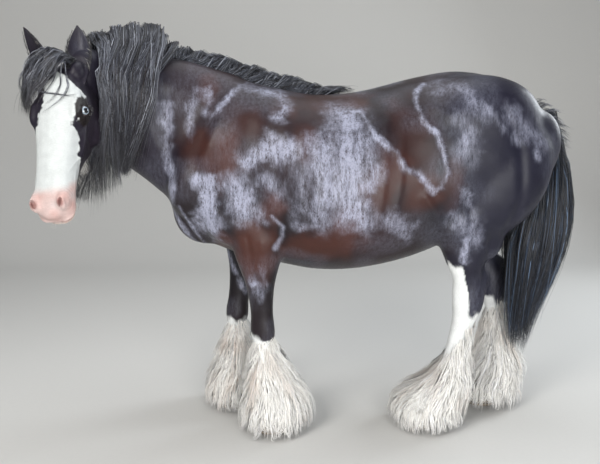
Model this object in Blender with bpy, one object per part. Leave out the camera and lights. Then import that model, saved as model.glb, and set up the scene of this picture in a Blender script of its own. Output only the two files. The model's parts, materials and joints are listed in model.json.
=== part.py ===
"""A life-size standing heavy cob horse with feathered legs, long mane and tail, looking to its left.

Metres, +Z up. The horse faces -X and its left side faces -Y. Places are given as forward, left and up
from the floor under the middle of its trunk; the whole model is then set over the middle of its box.
"""

import math
import random

import bmesh
import bpy
import numpy as np
from mathutils import Matrix, Vector
from mathutils.bvhtree import BVHTree

HEAD_LENGTH = 0.556
# DROP WITHERS_HEIGHT
# DROP MOUTH_BACK
EAR_LENGTH = 0.176
EYE_RADIUS = 0.0215
HOOF_HEIGHT = 0.088
CUT_GAP = 0.0003
HAIR_GAP = 0.0006

# Where the cuts between the nodes lie, as heights over the floor.
FORELEG_TOP = 0.64
HINDLEG_TOP = 0.675
FORE_CANNON_TOP = 0.37
HIND_CANNON_TOP = 0.44
NECK_CUT_AT = (0.63, 0.0, 1.22)
NECK_CUT_NORMAL = (0.715, 0.0, 0.699)

# How the head is held: where the poll is, and its turn, tilt and lean in degrees.
POLL = (1.102, 0.341, 1.463)
HEAD_YAW = 74.0
HEAD_PITCH = 63.5
HEAD_ROLL = 7.0
# Which way each ear points, as back from the nose, out to the left and up from the face, and how far out it is rooted.
EAR_WAYS = {"left": (-1.0, -0.15, -0.05), "right": (-1.0, 0.05, 0.88)}
EAR_APART = {"left": 0.122, "right": -0.138}

# Hair.
HAIR_SEED = 7
FEATHER_LOCKS = 11
TAIL_LOCKS = 20
MANE_NEAR_LOCKS = 12
MANE_FAR_LOCKS = 22
FORELOCK_LOCKS = 10

# Fineness of the flesh before it is thinned to facets.
TRUNK_VOXEL = 0.014
FLESH_VOXEL = 0.009
HEAD_VOXEL = 0.0055
TRUNK_FACETS = 1300
LEG_FACETS = 240
CANNON_FACETS = 130
NECK_FACETS = 420
HEAD_FACETS = 1600
LOCK_FACETS = 38
DOCK_FACETS = 160


def spot(forward, left, up):
    return Vector((-forward, -left, up))


def new_object(name, mesh):
    obj = bpy.data.objects.new(name, mesh)
    bpy.context.scene.collection.objects.link(obj)
    return obj


def object_from_bmesh(name, bm):
    bmesh.ops.recalc_face_normals(bm, faces=bm.faces)
    mesh = bpy.data.meshes.new(name)
    bm.to_mesh(mesh)
    bm.free()
    return new_object(name, mesh)


def remove(*objects):
    for obj in objects:
        bpy.data.objects.remove(obj)


def bake_modifiers(obj):
    """Gives obj the mesh that its modifiers make, and takes the modifiers off."""
    graph = bpy.context.evaluated_depsgraph_get()
    graph.update()
    mesh = bpy.data.meshes.new_from_object(obj.evaluated_get(graph))
    obj.modifiers.clear()
    obj.data = mesh
    return obj


def copy_of(obj, name):
    return new_object(name, obj.data.copy())


def smooth_rows(rows, steps):
    """The rows of numbers with steps - 1 more between each two, on a smooth curve through them."""
    rows = np.array(rows, float)
    ends = np.vstack([2 * rows[0] - rows[1], rows, 2 * rows[-1] - rows[-2]])
    made = []
    for before, a, b, after in zip(ends, ends[1:], ends[2:], ends[3:]):
        for t in np.arange(steps) / steps:
            made.append(
                0.5 * (2 * a + (b - before) * t + (2 * before - 5 * a + 4 * b - after) * t**2
                       + (3 * a - before - 3 * b + after) * t**3)
            )
    made.append(rows[-1])
    return np.array(made)


def loft(name, rings):
    """A closed skin over rings of the same number of points."""
    bm = bmesh.new()
    loops = [[bm.verts.new(p) for p in ring] for ring in rings]
    count = len(loops[0])
    for a, b in zip(loops, loops[1:]):
        for i in range(count):
            j = (i + 1) % count
            bm.faces.new((a[i], a[j], b[j], b[i]))
    bm.faces.new(loops[0])
    bm.faces.new(loops[-1])
    return object_from_bmesh(name, bm)


def rounded(angle, power):
    """The cosine and sine of a superellipse: 2 is round and more is squarer."""
    c, s = math.cos(angle), math.sin(angle)
    return (math.copysign(abs(c) ** (2 / power), c), math.copysign(abs(s) ** (2 / power), s))


def tube(name, rows, hint, sides=24, steps=4, power=2.2):
    """A limb over rows of forward, left, up, half depth along hint, and half width across it."""
    rows = smooth_rows(rows, steps)
    centres = [spot(*row[:3]) for row in rows]
    rings = []
    for i, row in enumerate(rows):
        along = (centres[min(i + 1, len(rows) - 1)] - centres[max(i - 1, 0)]).normalized()
        across = along.cross(hint).normalized()
        depth = across.cross(along)
        rings.append([
            centres[i] + depth * (row[3] * c) + across * (row[4] * s)
            for c, s in (rounded(2 * math.pi * k / sides, power) for k in range(sides))
        ])
    return loft(name, rings)


def ellipsoid(name, centre, radii, turn=Matrix.Identity(3), fineness=3):
    bm = bmesh.new()
    bmesh.ops.create_icosphere(bm, subdivisions=fineness, radius=1)
    for vert in bm.verts:
        vert.co = centre + turn @ Vector(a * r for a, r in zip(vert.co, radii))
    return object_from_bmesh(name, bm)


def box(name, low, high):
    bm = bmesh.new()
    bmesh.ops.create_cube(bm, size=1)
    for vert in bm.verts:
        vert.co = Vector(l + (h - l) * (c + 0.5) for l, h, c in zip(low, high, vert.co))
    return object_from_bmesh(name, bm)


def join(name, objects):
    bm = bmesh.new()
    for obj in objects:
        bm.from_mesh(obj.data)
    remove(*objects)
    mesh = bpy.data.meshes.new(name)
    bm.to_mesh(mesh)
    bm.free()
    return new_object(name, mesh)


def fuse(name, objects, voxel, rounds):
    """One skin over all the objects, with the creases between them smoothed."""
    obj = join(name, objects)
    remesh = obj.modifiers.new("Remesh", "REMESH")
    remesh.mode = "VOXEL"
    remesh.voxel_size = voxel
    smooth = obj.modifiers.new("Smooth", "SMOOTH")
    smooth.factor = 0.5
    smooth.iterations = rounds
    return bake_modifiers(obj)


def thin_out(obj, facets):
    """Fewer, larger facets, close to the number asked for."""
    count = sum(len(p.vertices) - 2 for p in obj.data.polygons)
    if count > facets:
        decimate = obj.modifiers.new("Decimate", "DECIMATE")
        decimate.ratio = facets / count
        decimate.use_collapse_triangulate = True
        bake_modifiers(obj)
    return obj


def combine(obj, others, operation):
    """Applies one Boolean of obj with all the others, and removes them."""
    group = bpy.data.collections.new("Pieces")
    for other in others:
        group.objects.link(other)
    boolean = obj.modifiers.new("Boolean", "BOOLEAN")
    boolean.operation = operation
    boolean.operand_type = "COLLECTION"
    boolean.collection = group
    boolean.solver = "MANIFOLD"
    bake_modifiers(obj)
    remove(*others)
    bpy.data.collections.remove(group)
    return obj


def largest_surface(obj):
    """Keeps only the largest closed surface of the mesh, without faces that lie back to back."""
    bm = bmesh.new()
    bm.from_mesh(obj.data)
    bmesh.ops.triangulate(bm, faces=bm.faces)
    twins = {}
    for face in bm.faces:
        twins.setdefault(frozenset(face.verts), []).append(face)
    doubled = [face for faces in twins.values() if len(faces) > 1 for face in faces]
    bmesh.ops.delete(bm, geom=doubled, context="FACES")
    unseen, groups = set(bm.faces), []
    while unseen:
        group, found = [], [unseen.pop()]
        while found:
            face = found.pop()
            group.append(face)
            for edge in face.edges:
                for other in edge.link_faces:
                    if other in unseen:
                        unseen.remove(other)
                        found.append(other)
        groups.append(group)
    groups.sort(key=lambda group: sum(face.calc_area() for face in group))
    for group in groups[:-1]:
        bmesh.ops.delete(bm, geom=group, context="FACES")
    bm.to_mesh(obj.data)
    bm.free()
    return obj


def keep_side(obj, point, normal):
    """Cuts obj by a plane, closes the cut, and keeps the side that normal points to."""
    bm = bmesh.new()
    bm.from_mesh(obj.data)
    found = bmesh.ops.bisect_plane(
        bm, geom=bm.verts[:] + bm.edges[:] + bm.faces[:], plane_co=point, plane_no=normal,
        clear_inner=True, dist=1e-7,
    )
    cut = [e for e in found["geom_cut"] if isinstance(e, bmesh.types.BMEdge)]
    bmesh.ops.holes_fill(bm, edges=cut, sides=0)
    bmesh.ops.triangulate(bm, faces=bm.faces)
    bmesh.ops.recalc_face_normals(bm, faces=bm.faces)
    bm.to_mesh(obj.data)
    bm.free()
    return obj


def swollen(obj, name, by):
    """A copy of obj whose surface lies by further out."""
    other = copy_of(obj, name)
    normals = [v.normal.copy() for v in other.data.vertices]
    for vert, normal in zip(other.data.vertices, normals):
        vert.co += normal * by
    return other


# The flesh.

# forward, top, bottom, half width, height of the widest point
TRUNK_ROWS = (
    (-0.765, 1.215, 1.115, 0.06, 1.165),
    (-0.735, 1.310, 1.045, 0.14, 1.165),
    (-0.65, 1.390, 0.965, 0.225, 1.165),
    (-0.54, 1.445, 0.865, 0.280, 1.165),
    (-0.38, 1.470, 0.775, 0.297, 1.125),
    (-0.20, 1.440, 0.700, 0.305, 1.055),
    (0.00, 1.390, 0.657, 0.325, 1.005),
    (0.18, 1.375, 0.653, 0.325, 1.015),
    (0.33, 1.400, 0.680, 0.295, 1.035),
    (0.46, 1.425, 0.707, 0.255, 1.045),
    (0.58, 1.410, 0.750, 0.235, 1.045),
    (0.69, 1.305, 0.810, 0.200, 1.035),
    (0.76, 1.165, 0.895, 0.145, 1.025),
    (0.785, 1.085, 0.955, 0.07, 1.015),
)

# forward, left, up, half depth, half width
NECK_ROWS = (
    (0.40, 0.00, 1.115, 0.26, 0.17),
    (0.60, 0.00, 1.180, 0.292, 0.168),
    (0.74, 0.01, 1.250, 0.268, 0.148),
    (0.87, 0.06, 1.310, 0.230, 0.122),
    (0.97, 0.145, 1.360, 0.186, 0.102),
    (1.04, 0.25, 1.400, 0.142, 0.086),
    (1.07, 0.335, 1.420, 0.105, 0.070),
)
CREST = (-0.36, 0.0, 0.93)

# How far each joint of a leg lies forward and out from the middle: shoulder or hip side first.
FORE_JOINTS = {
    "left": ((0.415, 0.172), (0.400, 0.142), (0.350, 0.134), (0.352, 0.134)),
    "right": ((0.47, 0.172), (0.520, 0.142), (0.510, 0.134), (0.520, 0.134)),
}
HIND_JOINTS = {
    "left": ((-0.395, 0.175), (-0.440, 0.138), (-0.350, 0.112), (-0.278, 0.100)),
    "right": ((-0.42, 0.175), (-0.640, 0.142), (-0.650, 0.130), (-0.600, 0.126)),
}

# up, share of the way from one joint to the next with the joint's number, half depth, half width
FORE_ROWS = (
    (0.965, 0.0, 0.130, 0.060),
    (0.825, 0.0, 0.118, 0.078),
    (0.725, 0.2, 0.094, 0.068),
    (0.615, 0.5, 0.062, 0.052),
    (0.505, 0.8, 0.050, 0.045),
    (0.440, 0.95, 0.054, 0.050),
    (0.400, 1.05, 0.052, 0.049),
    (0.355, 1.15, 0.043, 0.038),
    (0.265, 1.5, 0.038, 0.033),
    (0.205, 1.85, 0.043, 0.036),
    (0.165, 2.0, 0.052, 0.043),
    (0.125, 2.4, 0.046, 0.042),
    (0.095, 2.8, 0.056, 0.054),
    (0.07, 3.0, 0.062, 0.060),
)
HIND_ROWS = (
    (1.025, 0.0, 0.150, 0.070),
    (0.905, 0.0, 0.142, 0.088),
    (0.805, 0.25, 0.112, 0.076),
    (0.715, 0.5, 0.084, 0.060),
    (0.640, 0.8, 0.064, 0.047),
    (0.575, 1.0, 0.072, 0.050),
    (0.515, 1.05, 0.066, 0.050),
    (0.445, 1.2, 0.050, 0.042),
    (0.315, 1.55, 0.041, 0.036),
    (0.215, 1.85, 0.045, 0.038),
    (0.17, 2.0, 0.054, 0.045),
    (0.125, 2.4, 0.047, 0.043),
    (0.095, 2.8, 0.056, 0.054),
    (0.07, 3.0, 0.062, 0.060),
)

SIDES = {"left": 1, "right": -1}


def trunk_loft():
    rings = []
    for forward, top, bottom, half, middle in smooth_rows(TRUNK_ROWS, 4):
        ring = []
        for k in range(40):
            c, s = rounded(2 * math.pi * k / 40, 2.25)
            reach = top - middle if s > 0 else middle - bottom
            ring.append(spot(forward, half * c, middle + reach * s))
        rings.append(ring)
    return loft("trunk", rings)


def muscles():
    """Shoulder, upper arm, chest, rump, thigh and stifle, on both sides."""
    made = []
    for side in SIDES.values():
        for name, place, radii, pitch in (
            ("blade", (0.525, 0.140, 1.125), (0.150, 0.110, 0.235), 26),
            ("shoulder_point", (0.645, 0.140, 1.015), (0.125, 0.092, 0.150), 20),
            ("upper_arm", (0.47, 0.168, 0.915), (0.170, 0.092, 0.150), -14),
            ("breast", (0.625, 0.080, 0.910), (0.140, 0.088, 0.145), 16),
            ("rump", (-0.42, 0.128, 1.255), (0.29, 0.165, 0.195), -8),
            ("thigh", (-0.540, 0.165, 1.045), (0.195, 0.118, 0.265), 30),
            ("buttock", (-0.675, 0.105, 1.155), (0.125, 0.105, 0.170), 16),
            ("stifle", (-0.385, 0.178, 0.895), (0.125, 0.088, 0.135), 20),
            ("ham", (-0.487 if side > 0 else -0.540, 0.148, 0.790), (0.092, 0.058, 0.100), 30),
        ):
            forward, out, up = place
            turn = Matrix.Rotation(math.radians(pitch), 3, "Y")
            made.append(ellipsoid(name, spot(forward, side * out, up), radii, turn))
    return made


def leg(kind, side):
    """One leg from inside the trunk down to the coronet, in its stance."""
    joints = (FORE_JOINTS if kind == "fore" else HIND_JOINTS)[side]
    rows = FORE_ROWS if kind == "fore" else HIND_ROWS
    made = []
    for up, along, depth, width in rows:
        a = min(int(along), len(joints) - 2)
        share = along - a
        forward = joints[a][0] * (1 - share) + joints[a + 1][0] * share
        out = joints[a][1] * (1 - share) + joints[a + 1][1] * share
        made.append((forward, SIDES[side] * out, up, depth, width))
    return tube("leg", made, spot(1, 0, 0), sides=20)


def hock_point(side):
    """The heel bone behind the hock with the tendon that runs up from it."""
    forward, out = HIND_JOINTS[side][1]
    upper = HIND_JOINTS[side][0][0]
    left = SIDES[side] * out
    return tube("heel", (
        (upper * 0.7 + forward * 0.3 - 0.060, left * 1.05, 0.785, 0.030, 0.030),
        (upper * 0.36 + forward * 0.64 - 0.062, left, 0.685, 0.021, 0.018),
        (forward - 0.058, left, 0.617, 0.026, 0.025),
        (forward - 0.040, left, 0.570, 0.030, 0.028),
        (forward - 0.020, left, 0.505, 0.026, 0.026),
    ), spot(1, 0, 0), sides=14)


# The head in its own frame: along the face from the poll to the lips, out to its left, and up off the face.
# along, top, bottom, half widths high, at mid height and low, for a head of unit length
HEAD_ROWS = (
    (-0.04, -0.050, -0.255, 0.088, 0.108, 0.072),
    (0.03, 0.005, -0.325, 0.118, 0.134, 0.086),
    (0.13, 0.038, -0.435, 0.150, 0.154, 0.102),
    (0.24, 0.052, -0.490, 0.172, 0.162, 0.110),
    (0.34, 0.048, -0.480, 0.176, 0.156, 0.108),
    (0.44, 0.034, -0.405, 0.156, 0.150, 0.094),
    (0.56, 0.014, -0.325, 0.134, 0.138, 0.080),
    (0.69, -0.002, -0.268, 0.120, 0.128, 0.078),
    (0.81, -0.012, -0.243, 0.118, 0.130, 0.082),
    (0.90, -0.028, -0.238, 0.116, 0.138, 0.090),
    (0.965, -0.066, -0.228, 0.094, 0.122, 0.086),
    (1.0, -0.115, -0.200, 0.054, 0.082, 0.062),
)
EYE_AT = (0.325, 0.163, -0.060)
EYE_SLANT = 18.0
MOUTH_HEIGHT = -0.176


def head_frame():
    """The matrix that sets the head's own frame, in head lengths, in the world."""
    yaw, pitch = math.radians(HEAD_YAW), math.radians(HEAD_PITCH)
    level = spot(math.cos(yaw), math.sin(yaw), 0)
    along = level * math.cos(pitch) - Vector((0, 0, math.sin(pitch)))
    up = level * math.sin(pitch) + Vector((0, 0, math.cos(pitch)))
    left = up.cross(along)
    roll = Matrix.Rotation(math.radians(HEAD_ROLL), 3, level)
    turn = Matrix((roll @ along, roll @ left, roll @ up)).transposed()
    return Matrix.Translation(spot(*POLL)) @ turn.to_4x4() @ Matrix.Scale(HEAD_LENGTH, 4)


def head_section(row):
    """A ring of the head: a smooth closed curve through its top, brow, cheek, jaw and bottom."""
    along, top, bottom, high, middle, low = row
    depth = top - bottom
    half = ((0, top), (high * 0.72, top - 0.06 * depth), (high, top - 0.22 * depth),
            (middle, top - 0.48 * depth), (low, top - 0.82 * depth), (low * 0.5, top - 0.975 * depth))
    points = list(half) + [(0, bottom)] + [(-w, h) for w, h in reversed(half[1:])]
    closed = np.array([points[-1]] + points + points[:2])
    ring = []
    for before, a, b, after in zip(closed, closed[1:], closed[2:], closed[3:]):
        for t in (0, 0.5):
            w, h = 0.5 * (2 * a + (b - before) * t + (2 * before - 5 * a + 4 * b - after) * t**2
                          + (3 * a - before - 3 * b + after) * t**3)
            ring.append(Vector((along, w, h)))
    return ring


def head_forms():
    """The skull with its cheeks, brows, face bones, nostrils, lips and chin, in the head's own frame."""
    made = [loft("skull", [head_section(row) for row in smooth_rows(HEAD_ROWS, 4)])]
    made.append(ellipsoid("forehead", Vector((0.19, 0, 0.006)), (0.17, 0.130, 0.050)))
    made.append(ellipsoid("nose_tip", Vector((0.940, 0, -0.115)), (0.070, 0.096, 0.066)))
    made.append(ellipsoid("chin", Vector((0.885, 0, -0.232)), (0.075, 0.078, 0.042)))
    made.append(ellipsoid("lower_lip", Vector((0.955, 0, -0.202)), (0.045, 0.084, 0.028)))
    for side in SIDES.values():
        for name, centre, radii, tip in (
            ("cheek", (0.265, 0.108, -0.285), (0.180, 0.058, 0.170), 0),
            ("brow", (0.305, 0.140, -0.018), (0.110, 0.040, 0.044), -6),
            ("eye_bed", (0.335, 0.150, -0.062), (0.090, 0.038, 0.064), 0),
            ("face_bone", (0.47, 0.143, -0.112), (0.160, 0.022, 0.028), 3),
            ("nostril", (0.885, 0.094, -0.086), (0.086, 0.044, 0.064), -20),
            ("ear_root", (0.055, 0.110, -0.044), (0.082, 0.050, 0.072), 0),
        ):
            turn = Matrix.Rotation(math.radians(tip), 3, "Y")
            along, out, up = centre
            made.append(ellipsoid(name, Vector((along, side * out, up)), radii, turn))
    return made


def cord(name, points, radii, sides=10):
    """A round strand along points, with closed ends."""
    rings = []
    side = None
    for i, point in enumerate(points):
        along = (points[min(i + 1, len(points) - 1)] - points[max(i - 1, 0)]).normalized()
        side = along.orthogonal() if side is None else side - along * side.dot(along)
        side.normalize()
        other = along.cross(side)
        rings.append([
            point + (side * math.cos(2 * math.pi * k / sides) + other * math.sin(2 * math.pi * k / sides)) * radii[i]
            for k in range(sides)
        ])
    return loft(name, rings)


def eye_axes(side):
    """Towards the nose along the slit of the eye, up across it, and out of the head."""
    slant = math.radians(EYE_SLANT)
    out = Vector((0.22, side, 0.50)).normalized()
    nose = Vector((math.cos(slant), 0, -math.sin(slant)))
    nose = (nose - out * nose.dot(out)).normalized()
    return nose, out.cross(nose) * side, out


def lids(side):
    """The upper and lower lid, bent round the eyeball, in the head's own frame."""
    radius = EYE_RADIUS / HEAD_LENGTH
    centre = Vector((EYE_AT[0], side * EYE_AT[1], EYE_AT[2]))
    nose, up, out = eye_axes(side)
    made = []
    for height, thick in ((0.78, 0.28), (-0.66, 0.24)):
        points, radii = [], []
        for k in range(9):
            t = k / 4 - 1
            x, y = 1.06 * t * radius, height * radius * (1 - abs(t) ** 2.4)
            z = math.sqrt(max((1.08 * radius) ** 2 - x * x - y * y, 0.0))
            points.append(centre + nose * x + up * y + out * z)
            radii.append(radius * thick * (1 - 0.35 * t * t))
        made.append(cord("lid", points, radii))
    return made


def eye_openings():
    """What is cut from the flesh in front of the eyes, so that they look out between their lids."""
    radius = EYE_RADIUS / HEAD_LENGTH
    made = []
    for side in SIDES.values():
        nose, up, out = eye_axes(side)
        turn = Matrix((nose, up, out)).transposed()
        centre = Vector((EYE_AT[0], side * EYE_AT[1], EYE_AT[2])) + out * (1.20 * radius)
        made.append(ellipsoid("opening", centre, (1.02 * radius, 0.74 * radius, 0.72 * radius), turn))
    return put_in_world(made)


def put_in_world(objects):
    for obj in objects:
        obj.data.transform(head_frame())
    return objects


def whole_head():
    """The flesh of the head, opened in front of the eyes, with their lids."""
    skull = largest_surface(fuse("head", put_in_world(head_forms()), HEAD_VOXEL, 5))
    combine(skull, eye_openings(), "DIFFERENCE")
    return largest_surface(fuse("head", [skull, *put_in_world(lids(1) + lids(-1))], HEAD_VOXEL, 1))


def eyeball(side, radius, name):
    bm = bmesh.new()
    bmesh.ops.create_icosphere(bm, subdivisions=2, radius=radius)
    centre = head_frame() @ Vector((EYE_AT[0], SIDES[side] * EYE_AT[1], EYE_AT[2]))
    bmesh.ops.translate(bm, verts=bm.verts, vec=centre)
    return object_from_bmesh(name, bm)


def nostril_hollows():
    """The openings of the nostrils, to be cut out of the head."""
    made = []
    for side in SIDES.values():
        turn = Matrix.Rotation(side * math.radians(-18), 3, "Z") @ Matrix.Rotation(math.radians(30), 3, "Y")
        centre = Vector((0.926, side * 0.092, -0.042))
        made.append(ellipsoid("hollow", centre, (0.034, 0.015, 0.020), turn, 2))
    return put_in_world(made)


def mouth_groove(head):
    """A thin strand along the skin between the lips, to be cut out of the head."""
    surface = tree_of([head])
    frame = head_frame()
    points = []
    for k in range(17):
        angle = math.radians(-98 + 196 * k / 16)
        start = Vector((0.90, 0, MOUTH_HEIGHT))
        if abs(angle) > math.radians(70):
            start.x = 0.90 - 0.10 * (abs(angle) - math.radians(70)) / math.radians(28)
        way = Vector((math.cos(angle), math.sin(angle), 0))
        origin = frame @ start
        hit = surface.ray_cast(origin, (frame.to_3x3() @ way).normalized(), 0.2)[0]
        points.append(hit if hit else origin + frame.to_3x3() @ way * 0.1)
    radii = [0.0034 if 0 < k < 16 else 0.002 for k in range(17)]
    return cord("groove", points, radii, 6)


def ear(side):
    """A pricked ear with a hollow front, rooted in the head."""
    out = SIDES[side]
    root = Vector((0.040, EAR_APART[side], -0.030))
    along = Vector(EAR_WAYS[side]).normalized()
    front = Vector((0.30, out * 0.35, 0.90))
    front = (front - along * front.dot(along)).normalized()
    across = along.cross(front)
    length = EAR_LENGTH / HEAD_LENGTH
    rings = []
    # share of the length, half width, depth of the back, depth of the hollow
    for share, width, back, hollow in smooth_rows((
        (-0.10, 0.055, 0.065, 0.004),
        (0.00, 0.070, 0.085, 0.010),
        (0.22, 0.082, 0.085, 0.035),
        (0.45, 0.086, 0.070, 0.042),
        (0.68, 0.068, 0.048, 0.028),
        (0.86, 0.040, 0.028, 0.012),
        (1.00, 0.008, 0.008, 0.000),
    ), 1):
        centre = root + along * (share * length) + front * (0.05 * share * abs(share))
        ring = []
        for k in range(9):
            t = k / 4 - 1
            ring.append(centre + across * (width * t) - front * (back * (1 - t * t)))
        for k in range(1, 8):
            t = 1 - k / 4
            ring.append(centre + across * (width * 0.86 * t) - front * (hollow * (1 - t * t) - 0.004))
        rings.append(ring)
    return put_in_world([loft("ear_" + side, rings)])[0]


def tree_of(objects):
    """A search tree over the surfaces of all the objects."""
    bm = bmesh.new()
    for obj in objects:
        bm.from_mesh(obj.data)
    tree = BVHTree.FromBMesh(bm)
    bm.free()
    return tree


def hoof(kind, side):
    """A horn hoof with its slope forward, on the floor."""
    joints = (FORE_JOINTS if kind == "fore" else HIND_JOINTS)[side]
    forward, left = joints[3][0], SIDES[side] * joints[3][1]
    round_ = 1.0 if kind == "fore" else 0.96
    rings = []
    for up, ahead, depth, width in (
        (0.0, 0.014, 0.074, 0.068),
        (0.012, 0.013, 0.0745, 0.0685),
        (0.050, 0.004, 0.068, 0.063),
        (HOOF_HEIGHT, -0.006, 0.059, 0.057),
    ):
        rings.append([
            spot(forward + ahead + depth * c * round_, left + width * s, up)
            for c, s in (rounded(2 * math.pi * k / 22, 2.1) for k in range(22))
        ])
    return loft("hoof", rings)


def whole_trunk():
    """Trunk, neck, muscles and legs as one skin."""
    core = [trunk_loft(), tube("neck", NECK_ROWS, spot(*CREST), sides=32), *muscles()]
    soft = fuse("soft", core, TRUNK_VOXEL, 14)
    legs = [leg(kind, side) for kind in ("fore", "hind") for side in SIDES]
    heels = [hock_point(side) for side in SIDES]
    return largest_surface(fuse("flesh", [soft, *legs, *heels], FLESH_VOXEL, 6))


# The hair, as flat tapered locks.


def lock(points, outs, width, thick):
    """A flat lock along points, widest in its upper half and pointed at its tip, with a ridge on its outer face."""
    bm = bmesh.new()
    count = len(points)
    rings = []
    for i, point in enumerate(points[:-1]):
        share = i / (count - 1)
        along = (points[i + 1] - points[max(i - 1, 0)]).normalized()
        across = along.cross(outs[i]).normalized()
        out = across.cross(along)
        full = float(np.interp(share, (0, 0.2, 0.45, 0.7, 1), (0.72, 1.0, 0.95, 0.66, 0.3)))
        half = across * (width * full * 0.5)
        rings.append([bm.verts.new(p) for p in (
            point - half - out * thick * 0.3, point + half - out * thick * 0.3, point + out * (thick * 0.7 * full),
        )])
    tip = bm.verts.new(points[-1])
    for a, b in zip(rings, rings[1:]):
        for i in range(3):
            j = (i + 1) % 3
            bm.faces.new((a[i], a[j], b[j], b[i]))
    for i in range(3):
        bm.faces.new((rings[-1][i], rings[-1][(i + 1) % 3], tip))
    bm.faces.new(rings[0])
    bmesh.ops.triangulate(bm, faces=bm.faces)
    return object_from_bmesh("lock", bm)


def clear_of(point, surface, gap):
    """The point, moved out where it lies nearer than gap to the surface or inside it, and the way out."""
    place, normal, _, _ = surface.find_nearest(point)
    if (point - place).dot(normal) < gap:
        point = place + normal * gap
    return point, normal


def falling(start, heading, length, surface, gap, steps=6, weight=0.5):
    """A path from start that sets off along heading and then falls, lying over the surface."""
    points, outs = [start], [surface.find_nearest(start)[1]]
    way = heading.normalized()
    for _ in range(steps):
        way = (way + Vector((0, 0, -weight))).normalized()
        point, out = clear_of(points[-1] + way * (length / steps), surface, gap)
        way = (point - points[-1]).normalized()
        points.append(point)
        outs.append(out)
    return points, outs


def leg_axis(kind, side, up):
    """The middle of a leg at a height over the floor, as forward and left."""
    joints = (FORE_JOINTS if kind == "fore" else HIND_JOINTS)[side]
    rows = FORE_ROWS if kind == "fore" else HIND_ROWS
    heights = [row[0] for row in reversed(rows)]
    along = float(np.interp(up, heights, [row[1] for row in reversed(rows)]))
    a = min(int(along), len(joints) - 2)
    share = along - a
    forward = joints[a][0] * (1 - share) + joints[a + 1][0] * share
    out = joints[a][1] * (1 - share) + joints[a + 1][1] * share
    return forward, SIDES[side] * out


def feather(kind, side, rng):
    """Tiers of locks that flare from the lower leg over the hoof, the upper ones outermost."""
    locks = []
    top = 0.335 if kind == "fore" else 0.385
    hoof_forward, hoof_left = leg_axis(kind, side, 0.07)
    # height of the roots, height and reach of the tips, bulge, width
    for tier, (root, low, reach, bulge, width) in enumerate((
        (0.150, 0.008, 0.105, 0.026, 0.082),
        (top, 0.046, 0.138, 0.036, 0.104),
    )):
        for k in range(FEATHER_LOCKS):
            angle = 2 * math.pi * (k + 0.5 * (tier % 2) + rng.uniform(-0.18, 0.18)) / FEATHER_LOCKS
            ahead, out = math.cos(angle), math.sin(angle)
            start_up = root + rng.uniform(-0.018, 0.018) - (0.03 * ahead if tier else 0)
            end_up = low + rng.uniform(0, 0.022)
            far = reach * (1 + rng.uniform(-0.06, 0.06)) * (1.10 if ahead < 0 else 0.96)
            points, outs = [], []
            for step in range(5):
                t = step / 4
                up = start_up * (1 - t) + end_up * t
                forward, left = leg_axis(kind, side, max(up, 0.10))
                blend = min(1.0, t * 1.3)
                forward = forward * (1 - blend) + hoof_forward * blend
                left = left * (1 - blend) + hoof_left * blend
                away = 0.026 + (far - 0.026) * t ** 0.85 + bulge * math.sin(math.pi * t) * (1 - 0.3 * t)
                points.append(spot(forward + away * ahead, left + away * out, up))
                outs.append(spot(ahead, out, 0.15))
            locks.append(lock(points, outs, width * rng.uniform(0.9, 1.1), 0.022))
    return locks


def tail_path(share, drop, sway, out):
    """A place in the tail: share of the way down a hair that ends drop below the dock."""
    up = 1.31 - drop * share
    heights = (0.25, 0.45, 0.60, 0.75, 0.90, 1.05, 1.20, 1.30, 1.34)
    behind = float(np.interp(up, heights, (0.690, 0.705, 0.728, 0.748, 0.765, 0.776, 0.788, 0.775, 0.735)))
    spread = float(np.interp(up, heights, (0.22, 0.58, 0.88, 1.06, 1.02, 0.80, 0.48, 0.32, 0.22)))
    return spot(-behind + 0.115 * sway * spread - 0.01, 0.085 * out * spread, up)


def tail_locks(rng):
    locks = []
    for k in range(TAIL_LOCKS):
        angle = 2.39996 * k
        ring = math.sqrt((k + 0.5) / TAIL_LOCKS)
        sway, out = ring * math.cos(angle), ring * math.sin(angle)
        drop = 1.0 * (1 - 0.35 * ring * rng.random())
        start = 0.02 + 0.25 * ring * rng.random()
        points, outs = [], []
        for step in range(6):
            t = start + (1 - start) * step / 5
            wave = 0.05 * math.sin(5 * t + k)
            points.append(tail_path(t, drop, sway + wave, out + wave))
            outs.append(spot(0.4 * sway - 0.15, out, 0))
        locks.append(lock(points, outs, 0.085 * rng.uniform(0.85, 1.15), 0.036))
    return locks


def dock():
    """The fleshy root of the tail, out of the rump."""
    root = tube("tail", (
        (-0.66, 0, 1.300, 0.040, 0.045),
        (-0.725, 0, 1.290, 0.040, 0.045),
        (-0.772, 0, 1.250, 0.036, 0.042),
        (-0.792, 0, 1.165, 0.030, 0.036),
        (-0.784, 0, 1.045, 0.024, 0.028),
        (-0.770, 0, 0.935, 0.012, 0.014),
    ), spot(1, 0, 0.4), sides=12)
    return thin_out(fuse("tail", [root], FLESH_VOXEL, 2), DOCK_FACETS)


def crest_point(forward, surface):
    """The top of the neck at a place along it, with the ways along it and to its left."""
    forwards = [row[0] for row in NECK_ROWS]
    lefts = [row[1] for row in NECK_ROWS]
    left = float(np.interp(forward, forwards, lefts))
    ahead = float(np.interp(forward + 0.02, forwards, lefts))
    hit = surface.ray_cast(spot(forward, left, 2.0), Vector((0, 0, -1)))[0]
    along = spot(0.02, ahead - left, 0).normalized()
    return hit, along, Vector((0, 0, 1)).cross(along)


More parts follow.
